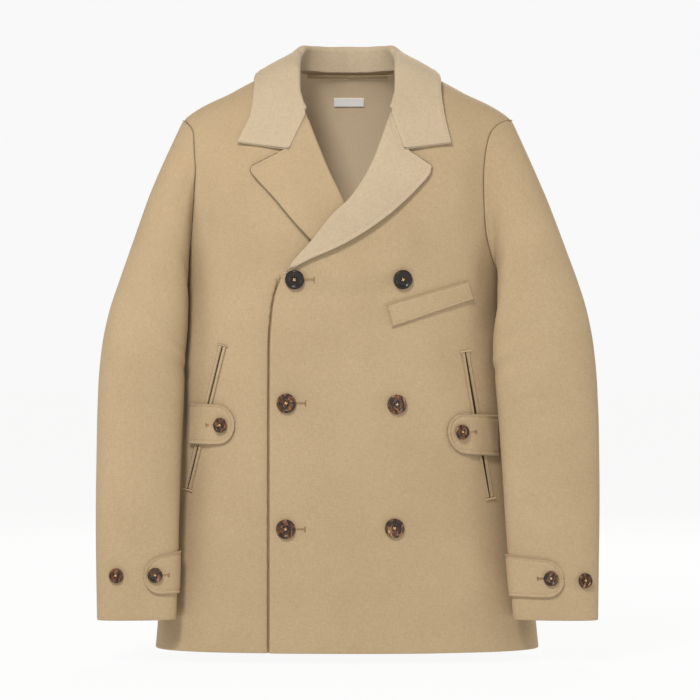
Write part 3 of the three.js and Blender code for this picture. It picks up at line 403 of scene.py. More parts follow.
def ring_point(angle, z, face, lapped):
    """A squarish oval by angle: 0 at the left side seam, half a turn at the right one."""
    square = read(BODY, "square", "z", z)
    c = np.cos(angle)
    x = half_width(c, z) * np.sign(c) * np.abs(c) ** (2 / square)
    depth = read(BODY, face, "z", z) * np.abs(np.sin(angle)) ** (2 / square)
    return faced(x, z, depth, face, lapped)


def ring_angle(x, z):
    square = read(BODY, "square", "z", z)
    share = np.minimum(1, np.abs(x) / half_width(x, z))
    return np.arccos(np.sign(x) * share ** (square / 2))


def normal_of(point, a, b, step_a, step_b, outward):
    """Cross product of the two directions of a surface, on the side of outward."""
    along_a = point(a + step_a, b) - point(a - step_a, b)
    n = unit(np.cross(along_a, point(a, b + step_b) - point(a, b - step_b)))
    return np.where(np.sum(n * outward, axis=-1, keepdims=True) < 0, -n, n)


def front_out(x, z, lapped, lift):
    place = lambda a, b: front_point(a, b, lapped)
    return place(x, z) + normal_of(place, x, z, 0.5, 0.5, FRONT) * np.asarray(lift)[..., None]


def edge_x(tab, s):
    """Where a row of the yoke meets an edge line."""
    shares = yoke_share(tab["x"], tab["z"])
    shares[0], shares[-1] = 0, 1
    return smooth_read(shares, tab["x"], 1 - s * s)


def spaced(curve, goal):
    """Rows of points at shares of each row's length, or that many even steps, from a curve over 0 to 1."""
    dense = np.sin(np.linspace(0, math.pi / 2, 200))[None, :]
    goal = np.linspace(0, 1, goal + 1) if np.ndim(goal) == 0 else goal
    return curve(np.stack([np.interp(goal * row[-1], row, dense[0]) for row in run_length(curve(dense), 1)]))


LOW_ROWS = 118
YOKE_ROWS = 84
LOW_Z = np.linspace(HEM_Z, UNDERARM_Z, LOW_ROWS, endpoint=False)[:, None]
YOKE_S = (1 - np.linspace(0, 1, YOKE_ROWS) ** 1.3)[:, None]
FRONT_COLUMNS = 84
UNDER_COLUMNS = np.unique(np.concatenate([np.linspace(0, 1, 91), np.linspace(0.45, 0.57, 81)]).round(5))
BACK_COLUMNS = 120


def front_grid(sign):
    """A front from its front edge out to the side seam and armhole, hem to shoulder."""
    lapped = sign > 0
    start = ring_angle(read(EDGE[sign], "x", "z", LOW_Z), LOW_Z)
    stop = 0 if lapped else math.pi
    columns = FRONT_COLUMNS if lapped else UNDER_COLUMNS
    low = spaced(lambda u: ring_point(lerp(start, stop, u), LOW_Z + 0 * u, "front", lapped), columns)
    inner = edge_x(ROLL[sign], YOKE_S) + sign * ROLL_SHORT * smooth(0, 0.2, YOKE_S) * smooth(1, 0.93, YOKE_S)
    outer = sign * edge_x(ARMHOLES["front", sign], YOKE_S)
    high = spaced(lambda u: yoke_point(lerp(inner, outer, u), -YOKE_S + 0 * u, lapped), columns)
    grid = np.concatenate([low, high])
    grid[..., 1] -= SEAM / 2
    return grid


def back_grid():
    """The back from the right side across to the left, hem to neck and shoulders."""
    def low(sign):
        angle = lambda u: math.pi / 2 * (1 - sign * u) + 0 * LOW_Z
        return spaced(lambda u: ring_point(angle(u), LOW_Z + 0 * u, "back", False), BACK_COLUMNS // 2)

    def high(sign):
        share = 1 - YOKE_S
        reach = edge_x(ARMHOLES["back", sign], YOKE_S)
        corner = lerp(reach * 0.36, NECK_CORNER, share)

        def point(x):
            top = np.where(x < NECK_CORNER, read(NECKLINE, "s", "x", x), 0)
            return yoke_point(sign * x, np.maximum(1e-6, lerp(1, top, share)))
        near = spaced(lambda u: point(corner * u), BACK_COLUMNS // 6)
        far = spaced(lambda u: point(lerp(corner, reach, u)), BACK_COLUMNS // 3)
        return np.concatenate([near, far[:, 1:]], axis=1)
    halves = [np.concatenate([low(sign), high(sign)]) for sign in (-1, 1)]
    grid = np.concatenate([halves[0][:, ::-1], halves[1][:, 1:]], axis=1)
    grid[..., 1] += SEAM / 2
    return grid


def armhole_point(sign, turn):
    """The armhole's edge by turn: 0 at the shoulder, 1 at the underarm, 2 again at the shoulder."""
    in_front = turn <= 1
    climb = np.where(in_front, 1 - turn, turn - 1)
    s = 1 - climb ** 1.3
    x_front = sign * edge_x(ARMHOLES["front", sign], s)
    x_back = sign * edge_x(ARMHOLES["back", sign], s)
    fore = yoke_point(x_front, -s, sign > 0) - [0, SEAM / 2, 0]
    aft = yoke_point(x_back, np.maximum(1e-6, s)) + [0, SEAM / 2, 0]
    return np.where(in_front[..., None], fore, aft)


def sleeve_base(sign, place, turn):
    """Leaning ovals along the arm, drawn to the armhole's own curve at the top."""
    place, turn = np.broadcast_arrays(np.asarray(place, float), np.asarray(turn, float))
    s = along(SLEEVE[sign], place)
    c, f = np.cos(turn * math.pi), np.sin(turn * math.pi)
    wide = np.sign(c) * np.abs(c) ** (2 / s["square"])
    deep = np.sign(f) * np.abs(f) ** (2 / s["square"])
    half_x = (s["outer_x"] - s["inner_x"]) / 2
    half_z = (s["outer_z"] - s["inner_z"]) / 2
    lean = s["lean"]
    reach = np.maximum(1, np.maximum(half_x, lean + 1))
    narrow = np.sqrt(1 - np.minimum(0.98, (lean / reach) ** 2))
    x = (s["outer_x"] + s["inner_x"]) / 2 + half_x * np.where(wide > 0, wide, narrow * wide)
    x = x - lean * deep * (1 - wide) / 2
    ring = xyz(sign * x, s["mid_y"] - s["deep"] * deep, (s["outer_z"] + s["inner_z"]) / 2 + half_z * wide)
    start = armhole_point(sign, np.mod(turn, 2)) + [sign * ARMHOLE_GAP, 0, 0]
    return lerp(start, ring, smooth(0, ARMHOLE_BLEND, place)[..., None])


def sleeve_axis(sign, place):
    place = np.asarray(place, float)
    return (sleeve_base(sign, place, 0 * place) + sleeve_base(sign, place, 0 * place + 1)) / 2


def sleeve_point(sign, place, turn):
    """The sleeve with its folds, which move a point away from the middle of its ring or towards it."""
    base = sleeve_base(sign, place, turn)
    away = unit(base - sleeve_axis(sign, np.broadcast_to(place, base.shape[:-1])))
    rows = [[ta * SLEEVE_TURN, pa * SLEEVE_LENGTH, tb * SLEEVE_TURN, pb * SLEEVE_LENGTH, w, h]
            for pa, ta, pb, tb, w, h in SLEEVE_FOLDS[sign]]
    across, down = np.mod(turn, 2) * SLEEVE_TURN, place * SLEEVE_LENGTH
    bend = folds(across, down, rows) + 0.6 * waves(base[..., 2], 1.7 * base[..., 0])
    bend = bend * smooth(0, 0.16, np.abs(np.mod(turn, 2) - 0.97))
    return base + away * (bend * smooth(0, 0.1, place))[..., None]


SLEEVE_ROWS = 150
SLEEVE_ROUND = 96


def sleeve_grid(sign):
    place = (np.linspace(0, 1, SLEEVE_ROWS) ** 1.15)[:, None]
    turn = (np.arange(SLEEVE_ROUND) / SLEEVE_ROUND * 2)[None, :]
    return sleeve_point(sign, place + 0 * turn, turn + 0 * place)


def front_surface(sign, x, z):
    """A front's outer surface at a place, right up to the side seam, and its direction there."""
    x, z = np.asarray(x, float), np.asarray(z, float)
    surface = lambda a, b: ring_point(ring_angle(a, b), b, "front", sign > 0)
    return surface(x, z), normal_of(surface, x, z, 0.4, 0.4, xyz(x / 400, -1, 0))


def lifted_front(sign, x, z, lift):
    at, out = front_surface(sign, x, z)
    return at + out * np.asarray(lift)[..., None]


def halved(low, high, beyond):
    """The value between low and high where beyond turns from true to false, found by halving."""
    for _ in range(24):
        mid = (low + high) / 2
        past = beyond(mid)
        low, high = np.where(past, mid, low), np.where(past, high, mid)
    return (low + high) / 2


def turn_at_x(sign, x):
    """The turn at the cuff's level where the sleeve's front half has that distance from the centre."""
    reach = lambda turn: np.abs(sleeve_base(sign, np.array(CUFF_PLACE), turn)[..., 0])
    return halved(np.array(0.05), np.array(0.95), lambda turn: reach(turn) > x)


def sleeve_surface(sign, turn, z):
    """A sleeve's outer surface at a turn and a height, and its direction there."""
    turn, z = np.asarray(turn, float), np.asarray(z, float)
    place = halved(0.3 + 0 * z, 1 + 0 * z, lambda at: sleeve_base(sign, at, turn)[..., 2] > z)
    surface = lambda a, b: sleeve_point(sign, a, b)
    at = surface(place, turn)
    return at, normal_of(surface, place, turn, 0.004, 0.004, at - sleeve_axis(sign, place))


# Meshes from grids of points


def grid_normals(grid, closed, outward):
    """Cross product of the steps along and across the grid, on the side of outward."""
    if closed:
        padded = np.concatenate([grid[:, -1:], grid, grid[:, :1]], axis=1)
        across = np.gradient(padded, axis=1)[:, 1:-1]
    else:
        across = np.gradient(grid, axis=1)
    n = unit(np.cross(np.gradient(grid, axis=0), across))
    r, c = grid.shape[0] // 2, grid.shape[1] // 2
    return n if np.dot(n[r, c], outward(grid[r, c])) > 0 else -n


def lengths(grid):
    """Distances along the grid in both directions, in metres: the cloth laid flat."""
    middle = grid.shape[1] // 2
    up, across = run_length(grid[:, middle], 0)[:, None], run_length(grid, 1)
    return np.stack(np.broadcast_arrays(across - across[:, middle:middle + 1], up), axis=-1) / 1000


def mesh_object(name, points, faces, flat=None):
    """Puts points in millimetres and four-sided faces into a mesh, with the flat cloth as its UV map."""
    mesh = bpy.data.meshes.new(name)
    mesh.vertices.add(len(points))
    mesh.vertices.foreach_set("co", (np.asarray(points) / 1000).astype(np.float32).ravel())
    mesh.loops.add(faces.size)
    mesh.loops.foreach_set("vertex_index", faces.astype(np.int32).ravel())
    mesh.polygons.add(len(faces))
    mesh.polygons.foreach_set("loop_start", np.arange(len(faces), dtype=np.int32) * faces.shape[1])
    mesh.polygons.foreach_set("use_smooth", np.ones(len(faces), bool))
    mesh.update(calc_edges=True)
    if flat is not None:
        layer = mesh.uv_layers.new(name="cloth")
        layer.data.foreach_set("uv", flat[faces.ravel()].astype(np.float32).ravel())
    mesh.validate()
    obj = bpy.data.objects.new(name, mesh)
    bpy.context.scene.collection.objects.link(obj)
    return obj


def quads(ids, closed=False):
    """Faces between neighbouring rows and columns of a grid of vertex numbers."""
    nxt = np.roll(ids, -1, axis=1) if closed else ids[:, 1:]
    ids = ids if closed else ids[:, :-1]
    return np.stack([ids[:-1], nxt[:-1], nxt[1:], ids[1:]], axis=-1).reshape(-1, 4)


RIM_STEPS = 3
EDGE_AT = {"start": np.s_[:, 0], "end": np.s_[:, -1], "low": np.s_[0], "high": np.s_[-1]}
NEXT_AT = {"start": np.s_[:, 1], "end": np.s_[:, -2], "low": np.s_[1], "high": np.s_[-2]}
ALL_SIDES = ("start", "end", "low", "high")


def shell(name, grid, thick, outward, closed=False, adjust=None, soft=(), finish=None):
    """A cloth wall: the outer grid, an inner one a wall's thickness in, and a rim that joins them.
    On the soft sides the rim is half a circle, and its middle lies on the grid's edge."""
    n = grid_normals(grid, closed, outward)
    if adjust:
        adjust(n)
        n = unit(n)
    flat = lengths(grid)
    rows, cols = grid.shape[:2]
    out = np.zeros_like(grid)
    for side in soft:
        out[EDGE_AT[side]] += unit(grid[EDGE_AT[side]] - grid[NEXT_AT[side]])
    bulge = 0.5 * thick
    out = out / np.maximum(1, np.linalg.norm(out, axis=-1, keepdims=True))
    outer = grid - out * bulge
    inner = outer - n * thick
    if finish:
        finish(inner)
    ids = np.arange(rows * cols).reshape(rows, cols)
    if closed:
        loops = [ids[0], ids[-1]]
    else:
        loops = [np.concatenate([ids[0], ids[1:, -1], ids[-1, -2::-1], ids[-2:0:-1, 0]])]
    points = [outer.reshape(-1, 3), inner.reshape(-1, 3)]
    flats = [flat.reshape(-1, 2)] * 2
    faces = [quads(ids, closed), quads(ids + rows * cols, closed)[:, ::-1]]
    count = 2 * rows * cols
    for which, loop in enumerate(loops):
        a, b, t = points[0][loop], points[1][loop], out.reshape(-1, 3)[loop]
        rings = [loop]
        for k in range(1, RIM_STEPS + 1):
            angle = math.pi * k / (RIM_STEPS + 1)
            points.append(lerp(a, b, (1 - math.cos(angle)) / 2) + t * bulge * math.sin(angle))
            flats.append(flats[0][loop])
            rings.append(count + np.arange(len(loop)))
            count += len(loop)
        rings.append(loop + rows * cols)
        rim = quads(np.stack(rings), True)
        faces.append(rim[:, ::-1] if which == 0 else rim)
    points, faces = np.concatenate(points), np.concatenate(faces)
    middle = faces[(rows // 2) * (cols if closed else cols - 1) + cols // 2]
    a, b, c = points[middle[:3]]
    if np.dot(np.cross(b - a, c - a), n[rows // 2, cols // 2]) < 0:
        faces = faces[:, ::-1]
    return mesh_object(name, points, faces, np.concatenate(flats))


def groove(grid, sides, inset, deep, wide):
    """A sewn line: the surface sinks by a bell round the inset from the named sides, and swells beside it."""
    n = grid_normals(grid, False, to_front)
    border = np.concatenate([grid[EDGE_AT[side]] for side in sides])
    flat = grid.reshape(-1, 3)
    away = np.concatenate([
        np.min(np.linalg.norm(part[:, None] - border[None], axis=-1), axis=1)
        for part in np.array_split(flat, max(1, len(flat) // 2000))
    ]).reshape(grid.shape[:2])
    sunk = np.exp(-((away - inset) / wide) ** 2)
    swollen = 0.35 * np.exp(-((away - inset * 0.45) / wide) ** 2)
    return grid + n * (deep * (swollen - sunk))[..., None]


SEAM_DEEP = 0.9
SEAM_WIDE = 2.4


def sunk_seam(grid, closed, outward, sides):
    """Edges that are sewn to a neighbour turn in, so that the seam lies in a soft valley."""
    n = grid_normals(grid, closed, outward)
    bend = np.zeros(grid.shape[:2])
    for side in sides:
        axis, way = (0 if side == "low" else 1), (-1 if side == "end" else 1)
        away = run_length(grid[:, ::way], axis)[:, ::way]
        bend = np.maximum(bend, SEAM_DEEP * np.exp(-(away / SEAM_WIDE) ** 2))
    return grid - n * bend[..., None]


def patch(rows, cols, place):
    u = np.linspace(0, 1, rows + 1)[:, None]
    v = np.linspace(0, 1, cols + 1)[None, :]
    return place(u + 0 * v, v + 0 * u)


# The cloth pieces


def from_middle(p):
    return np.array([p[0], p[1], 0])


def to_front(p):
    return FRONT


def square_front(n):
    n[:LOW_ROWS + 1, -1, 1] = 0
    n[-1, :, 1] = 0


def square_back(n):
    n[:LOW_ROWS + 1, 0, 1] = 0
    n[:LOW_ROWS + 1, -1, 1] = 0
    outer = np.abs(back_points[-1, :, 0]) > NECK_CORNER - 1
    n[-1, outer, 1] = 0


def gathered(shares, power):
    """Shares from 0 to 1 that lie closer together towards 1."""
    return 1 - (1 - shares) ** power


def leaf_line(first, mid, edge, u, soft, power):
    """From first by way of mid to edge, with the corner at mid drawn towards the straight line."""
    line = np.where(u < 0.5, lerp(first, mid, u * 2), lerp(mid, edge, u * 2 - 1))
    return line + soft * (lerp(first, edge, u) - line) * np.sin(math.pi * u) ** power


LAPEL_ROWS = 120
BEND_COLUMNS = 12
LEAF_COLUMNS = 64
LAPEL_STAND_OFF = 2.6
LAPEL_PUFF = 1.3
LAPEL_TUCK = 0.7
LOW_END_IN = 3.4
LOW_END_SUNK = -0.8 * DOUBLE


def lapel_grid(sign):
    """From under the roll line round half a circle, then a leaf that lies on the front."""
    radius = (CLOTH + ROLL_GAP + DOUBLE) / 2
    places = gathered(np.linspace(0, 1, LAPEL_ROWS), 1.4)[:, None]
    s = along(LAPEL[sign], places)
    roll, mid, edge = (
        np.stack([s[name + "_x"], s[name + "_z"]], axis=-1) for name in ("roll", "mid", "edge"))
    out = unit(edge - roll)
    angle = (np.arange(BEND_COLUMNS) / BEND_COLUMNS * math.pi)[None, :]
    bend = roll + out * (radius + SEAM - radius * np.sin(angle))[..., None]
    rise = np.broadcast_to(radius * (1 - np.cos(angle)) - CLOTH, bend.shape[:2])
    u = gathered(np.linspace(0, 1, LEAF_COLUMNS), 1.6)[None, :]
    eased = 0.25 * (1 - smooth(0.8, 1, places))
    leaf = leaf_line(roll + out * (radius + SEAM), mid, edge, u[..., None], eased[..., None], 2)
    stand_off = LAPEL_STAND_OFF * np.sin(math.pi * np.minimum(1, places * 1.15)) * smooth(0.25, 1, u)
    puff = LAPEL_PUFF * np.sin(math.pi * u ** 0.8) * smooth(0, 0.25, places)
    tucked = LAPEL_TUCK * smooth(0.94, 1, places) * (1 - smooth(0.5, 0.7, u))
    lift = DOUBLE + lerp(ROLL_GAP, LEAF_GAP, u) + stand_off + puff - tucked
    flat = np.concatenate([bend, leaf], axis=1)
    flat[..., 0] += sign * LOW_END_IN * (1 - smooth(0, 0.15, places))
    lift = lerp(LOW_END_SUNK, np.concatenate([rise, lift], axis=1), smooth(-0.01, 0.1, places))
    return front_out(flat[..., 0], flat[..., 1], sign > 0, lift)


def yoke_out(x, s, lift):
    """A place on the yoke, lifted off it by a direction that never points down."""
    across = yoke_point(x + 1, s) - yoke_point(x - 1, s)
    n = np.cross(across, yoke_point(x, s + 0.02) - yoke_point(x, s - 0.02))
    n = unit(np.where(n[..., 2:] < 0, -n, n))
    return yoke_point(x, s) + n * np.asarray(lift)[..., None]


COLLAR_ROWS = 100
STAND_COLUMNS = 14
FOLD_COLUMNS = 11
FALL_COLUMNS = 60
COLLAR_LIFT = 1.2
COLLAR_STAND_OFF = 2.2
COLLAR_PUFF = 1.4
SEAM_DROP = 5.5
MIDDLE_RISE = 7


def collar_half(sign, places):
    """Stand up from the neck seam, round the fold on a circle and down the fall to the edge."""
    s = along(COLLAR[sign], places)

    def at(name, lift):
        return yoke_out(sign * s[name + "_x"], s[name + "_s"], lift)
    seam = at("seam", lerp(1.5, 4, smooth(0.4, 0.8, places)))
    fold = at("fold", lerp(0, DOUBLE + ROLL_GAP, smooth(0.5, 1, places)))
    fold[:, 2] += s["fold_up"]
    mid = at("mid", DOUBLE + COLLAR_LIFT)
    mid[:, 2] += MIDDLE_RISE * (1 - smooth(0.65, 1, places))
    edge = at("edge", DOUBLE + lerp(COLLAR_LIFT, SEAM + 0.2, smooth(0.8, 1, places)))[:, None]
    up = unit(fold - seam)
    seam = seam - up * (SEAM_DROP * (1 - smooth(0.35, 0.6, places)))[:, None]
    away = unit(mid - fold)
    over = np.sum(away * up, axis=-1, keepdims=True)
    side = unit(away - up * over)
    radius = DOUBLE + ROLL_GAP / 2
    centre = fold + side * radius - up * radius
    start = centre - side * radius
    stand = lerp(seam[:, None], start[:, None], (np.arange(STAND_COLUMNS) / STAND_COLUMNS)[None, :, None])
    turn = np.minimum(math.pi, np.arccos(np.clip(over, -1, 1)) + 0.15)
    angle = (np.linspace(0, 1, FOLD_COLUMNS)[None, :] * turn)[..., None]
    up, side, centre = up[:, None], side[:, None], centre[:, None]
    bend = centre + radius * (up * np.sin(angle) - side * np.cos(angle))
    u = gathered(np.arange(1, FALL_COLUMNS + 1) / FALL_COLUMNS, 1.6)[None, :]
    eased = 0.3 * (1 - smooth(0.9, 1, places))
    fall = leaf_line(bend[:, -1:], mid[:, None], edge, u[..., None], eased[:, None, None], 4)
    puff = COLLAR_PUFF * np.sin(math.pi * u ** 0.8) * smooth(0, 0.3, places)[:, None]
    stand_off = COLLAR_STAND_OFF * smooth(0.3, 1, u) * np.sin(math.pi * smooth(0.35, 1, places))[:, None]
    fall = fall + unit(side + up * 0.4) * (puff + stand_off)[..., None]
    return np.concatenate([stand, bend, fall], axis=1)


def collar_grid():
    places = gathered(np.linspace(0, 1, COLLAR_ROWS), 1.3)
    return np.concatenate([collar_half(-1, places)[:0:-1], collar_half(1, places)])


def pocket_point(sign, u):
    p = POCKETS[sign]
    return np.stack([sign * lerp(p["top"][0], p["low"][0], u), lerp(p["top"][1], p["low"][1], u)], axis=-1)


def beside_pocket(sign, u, offset, lift):
    """Points at an offset from a pocket's middle line, lifted off the front."""
    run = unit(pocket_point(sign, np.array(1.0)) - pocket_point(sign, np.array(0.0)))
    p = pocket_point(sign, u) + np.array([-run[1], run[0]]) * np.asarray(offset)[..., None]
    return lifted_front(sign, p[..., 0], p[..., 1], lift)


def gape(sign, u):
    """How far the left pocket's mouth stands open beyond its slit, on each side."""
    return GAPE * np.sin(math.pi * u) * (sign > 0)


def lip_grid(sign, which):
    def place(u, v):
        inner = SLIT / 2 + gape(sign, u)
        return beside_pocket(sign, u, which * lerp(inner, SLIT / 2 + LIP_WIDTH, v), LIP_LIFT)
    return patch(110, 8, place)


# The strip between a pocket's lips carries painted shade: a dark sheet where the pocket's opening lies in
# shadow
def mouth_shade_grid(sign):
    def place(u, v):
        return beside_pocket(sign, u, (SLIT / 2 + 0.5 + gape(sign, u)) * (2 * v - 1), MOUTH_LIFT)
    return patch(90, 3, place)


def strap_lift(sign, x, z):
    """How far a waist strap's outer face stands off the front, more where it crosses the pocket's lips."""
    pocket = POCKETS[sign]
    over = (z - pocket["top"][1]) / (pocket["low"][1] - pocket["top"][1])
    away = np.abs(x - lerp(pocket["top"][0], pocket["low"][0], over))
    return DOUBLE + SEAM + (LIP_THICK + 2.4 * SEAM) * (1 - smooth(10, 26, away))


def strap_half(height, from_tip, least):
    """Half a strap's height at a distance from its rounded tip, no less than a share of the whole half."""
    share = np.minimum(1, from_tip / TAB_ROUND)
    return height / 2 * np.maximum(least, np.sqrt(1 - (1 - share) ** 2.4))


def waist_tab_grid(sign):
    tab = WAIST_TABS[sign]

    def place(u, v):
        x = lerp(tab["tip"][0], tab["end"][0], u ** 1.3)
        half = strap_half(tab["height"], x - tab["tip"][0], 0.12)
        z = lerp(tab["tip"][1], tab["end"][1], u) + half * (1 - 2 * v)
        return lifted_front(sign, sign * x, z, strap_lift(sign, x, z))
    return patch(70, 50, place)


def welt_grid():
    def place(u, v):
        x = lerp(WELT["inner_x"], WELT["outer_x"], u) + WELT["shift"] * v
        z = lerp(WELT["inner_z"], WELT["outer_z"], u) - lerp(WELT["drop"] + 2, WELT["drop"] - 3, u) * v
        return lifted_front(1, x, z, DOUBLE + 2 * SEAM)
    return patch(90, 26, place)


def cuff_tab_grid(sign):
    tab = CUFF_TABS[sign]
    tip = turn_at_x(sign, tab["tip_x"])

    def place(u, v):
        turn = lerp(tip, tab["end"], u ** 1.3)
        x = np.abs(sleeve_base(sign, CUFF_PLACE + 0 * turn, turn)[..., 0])
        from_tip = np.abs(x - tab["tip_x"]) + np.where(turn > 0.9, TAB_ROUND, 0)
        half = strap_half(tab["height"], from_tip, 0.06)
        flare = smooth(0.1, 0.8, u)
        z = tab["z"] + lerp(half + 5.4 * flare, 1.2 * flare - half, v)
        at, out = sleeve_surface(sign, turn, z)
        return at + out * (DOUBLE + SEAM)
    return patch(80, 46, place)


# Buttons and sewing


def turned(grid, base, normal):
    """Moves points given as (across, up, out) to a place on the cloth."""
    normal = unit(np.asarray(normal, float))
    across = unit(np.cross(normal, [0.0, 0.0, 1.0]))
    up = np.cross(across, normal)
    return base + grid[..., :1] * across + grid[..., 1:2] * up + grid[..., 2:] * normal


# A button's profile: shares of the radius on its face, then shares of radius and thickness round its side
BUTTON_FACE = np.concatenate([
    np.linspace(0.02, 0.44, 24), [0.5, 0.56, 0.62, 0.66, 0.7, 0.74, 0.79, 0.84, 0.89, 0.93],
])
BUTTON_SIDE = np.array([
    [0.965, 0.78], [0.99, 0.62], [1, 0.46], [0.985, 0.28], [0.94, 0.12], [0.86, 0.03], [0.6, 0], [0.02, 0],
])
BUTTON_STEPS = 96
HOLE_DEPTH = 0.62
HOLES = [math.pi * (2 * k + 1) / 4 for k in range(4)]


def button(name, size, base, normal, tilt):
    """A turned disc: rounded edge, raised rim and dished face, with four steep round holes."""
    radius, thick = size["radius"], size["thick"]
    dish = size["rim"] * (1 - smooth(0.6, 0.76, BUTTON_FACE))
    top = thick - dish - 0.5 * thick * smooth(0.88, 1.02, BUTTON_FACE) ** 2
    r = np.concatenate([BUTTON_FACE, BUTTON_SIDE[:, 0]])[:, None] * radius
    h = np.concatenate([top, BUTTON_SIDE[:, 1] * thick])[:, None]
    turn = np.linspace(0, 2 * math.pi, BUTTON_STEPS, endpoint=False)
    x, z = r * np.cos(turn), r * np.sin(turn)
    y = h + 0 * x
    for angle in HOLES:
        a, b = size["spread"] * math.cos(angle + tilt), size["spread"] * math.sin(angle + tilt)
        away = np.hypot(x - a, z - b)
        sink = HOLE_DEPTH * thick * (1 - smooth(size["hole"] * 0.8, size["hole"] * 1.2, away))
        y[:len(top)] -= sink[:len(top)]
    grid = turned(np.stack([x, z, y], axis=-1), base, normal)
    ids = np.arange(grid[..., 0].size).reshape(x.shape)
    faces = [quads(ids, True)[:, ::-1]]
    for pole, ring in ((ids.size, ids[0]), (ids.size + 1, ids[-1][::-1])):
        pairs = np.stack([ring[0::2], np.roll(ring, -1)[0::2], np.roll(ring, -2)[0::2]], axis=-1)
        faces.append(np.concatenate([np.full((len(pairs), 1), pole), pairs], axis=1))
    faces = np.concatenate(faces)
    points = np.concatenate([grid.reshape(-1, 3), [grid[0].mean(axis=0), grid[-1].mean(axis=0)]])
    a, b, c = points[faces[20 * BUTTON_STEPS][:3]]
    if np.dot(np.cross(b - a, c - a), normal) < 0:
        faces = faces[:, ::-1]
    return mesh_object(name, points, faces)


def tubes(centres, radius):
    """Short six-sided threads: rings round the middle lines (count, steps, 3), closed by small ends."""
    count, steps = centres.shape[:2]
    run = unit(np.gradient(centres, axis=1))
    across = unit(np.cross(run, [0.31, 0.17, 0.93]))
    up = np.cross(run, across)
    angle = (np.arange(6) * math.pi / 3)[None, None, :, None]
    taper = np.sin(np.linspace(0.12, math.pi - 0.12, steps)) ** 0.4 * radius
    ring = across[:, :, None] * np.cos(angle) + up[:, :, None] * np.sin(angle)
    points = centres[:, :, None] + ring * taper[None, :, None, None]
    ids = np.arange(count * steps * 6).reshape(count, steps, 6)
    nxt = np.roll(ids, -1, axis=2)
    walls = np.stack([ids[:, :-1], nxt[:, :-1], nxt[:, 1:], ids[:, 1:]], axis=-1).reshape(-1, 4)
    first, last = ids[:, 0], ids[:, -1]
    ends = [first[:, [0, 3, 2, 1]], first[:, [0, 5, 4, 3]], last[:, [0, 1, 2, 3]], last[:, [0, 3, 4, 5]]]
    return points.reshape(-1, 3), np.concatenate([walls] + ends)


def joined(name, parts):
    """One mesh from several lists of points and faces."""
    points, faces, count = [], [], 0
    for p, f in parts:
        points.append(p)
        faces.append(f + count)
        count += len(p)
    return mesh_object(name, np.concatenate(points), np.concatenate(faces))


STITCH = 2.7
STITCH_GAP = 0.8


def stitch_line(path, normals):
    """Running stitches: each rises a little over the cloth between two needle holes."""
    step = run_length(path, 0)
    count = max(1, int(step[-1] // (STITCH + STITCH_GAP)))
    start = (np.arange(count) + 0.5) * step[-1] / count - STITCH / 2
    at = start[:, None] + np.linspace(0, STITCH, 5)[None, :]
    centre, n = (np.stack([np.interp(at, step, values[:, k]) for k in range(3)], axis=-1)
                 for values in (path, normals))
    rise = np.array([-0.35, 0.05, 0.16, 0.05, -0.35])[None, :, None]
    return tubes(centre + unit(n) * rise, 0.3)


def satin(start, stop, normal, wide, gap, radius):
    """Close threads side by side across a short line."""
    count = max(2, int(np.linalg.norm(stop - start) / gap))
    middle = lerp(start, stop, np.linspace(0, 1, count)[:, None])
    over = unit(np.cross(normal, stop - start))
    at = np.linspace(-1, 1, 5)[None, :, None]
    rise = normal * (0.34 * (1 - at ** 2) - 0.12)
    return tubes(middle[:, None] + over * at * wide / 2 + rise, radius)


def edge_path(grid, inset):
    """A line on a strap at an even distance from its low side and both ends, laid on the nearest surface."""
    n = grid_normals(grid, False, to_front)
    border, normals = (np.concatenate([g[::-1, 0], g[0], g[:, -1]]) for g in (grid, n))
    run = np.gradient(border, axis=0)
    keep = np.linalg.norm(run, axis=-1) > 1e-6
    border, normals, run = border[keep], normals[keep], unit(run[keep])
    inward = unit(np.cross(normals, run))
    flat, flat_n = grid.reshape(-1, 3), n.reshape(-1, 3)
    if np.mean(np.sum(inward * (flat.mean(axis=0) - border), axis=-1)) < 0:
        inward = -inward
    path = border + inward * inset
    near = np.concatenate([
        np.argmin(np.linalg.norm(part[:, None] - flat[None], axis=-1), axis=1)
        for part in np.array_split(path, max(1, len(path) // 40))
    ])
    free = np.min(np.linalg.norm(path[:, None] - border[None], axis=-1), axis=1) > inset * 0.93
    normal = flat_n[near]
    path = path - normal * np.sum((path - flat[near]) * normal, axis=-1, keepdims=True)
    return path[free], normal[free]


# Materials


def fill(tree, target, inputs):
    """Gives a node's inputs, by name or number, their values or the outputs that feed them."""
    for name, value in inputs.items():
        if isinstance(value, bpy.types.NodeSocket):
            tree.links.new(value, target.inputs[name])
        else:
            target.inputs[name].default_value = value


def node(tree, kind, inputs, **settings):
    """A new node's outputs, once it has its settings and inputs."""
    made = tree.nodes.new(kind)
    for name, value in settings.items():
        setattr(made, name, value)
    fill(tree, made, inputs)
    return made.outputs


def noise(tree, vector, scale, detail, roughness=0.5, distortion=0.0):
    return node(tree, "ShaderNodeTexNoise", {
        "Vector": vector, "Scale": scale, "Detail": detail,
        "Roughness": roughness, "Distortion": distortion})[0]


def mix(tree, share, a, b):
    """The number a at a share of 0 and b at 1."""
    return node(tree, "ShaderNodeMix", {0: share, 2: a, 3: b}, data_type="FLOAT")[0]


def mix_colour(tree, share, a, b):
    return node(tree, "ShaderNodeMix", {0: share, 6: a, 7: b}, data_type="RGBA")[2]


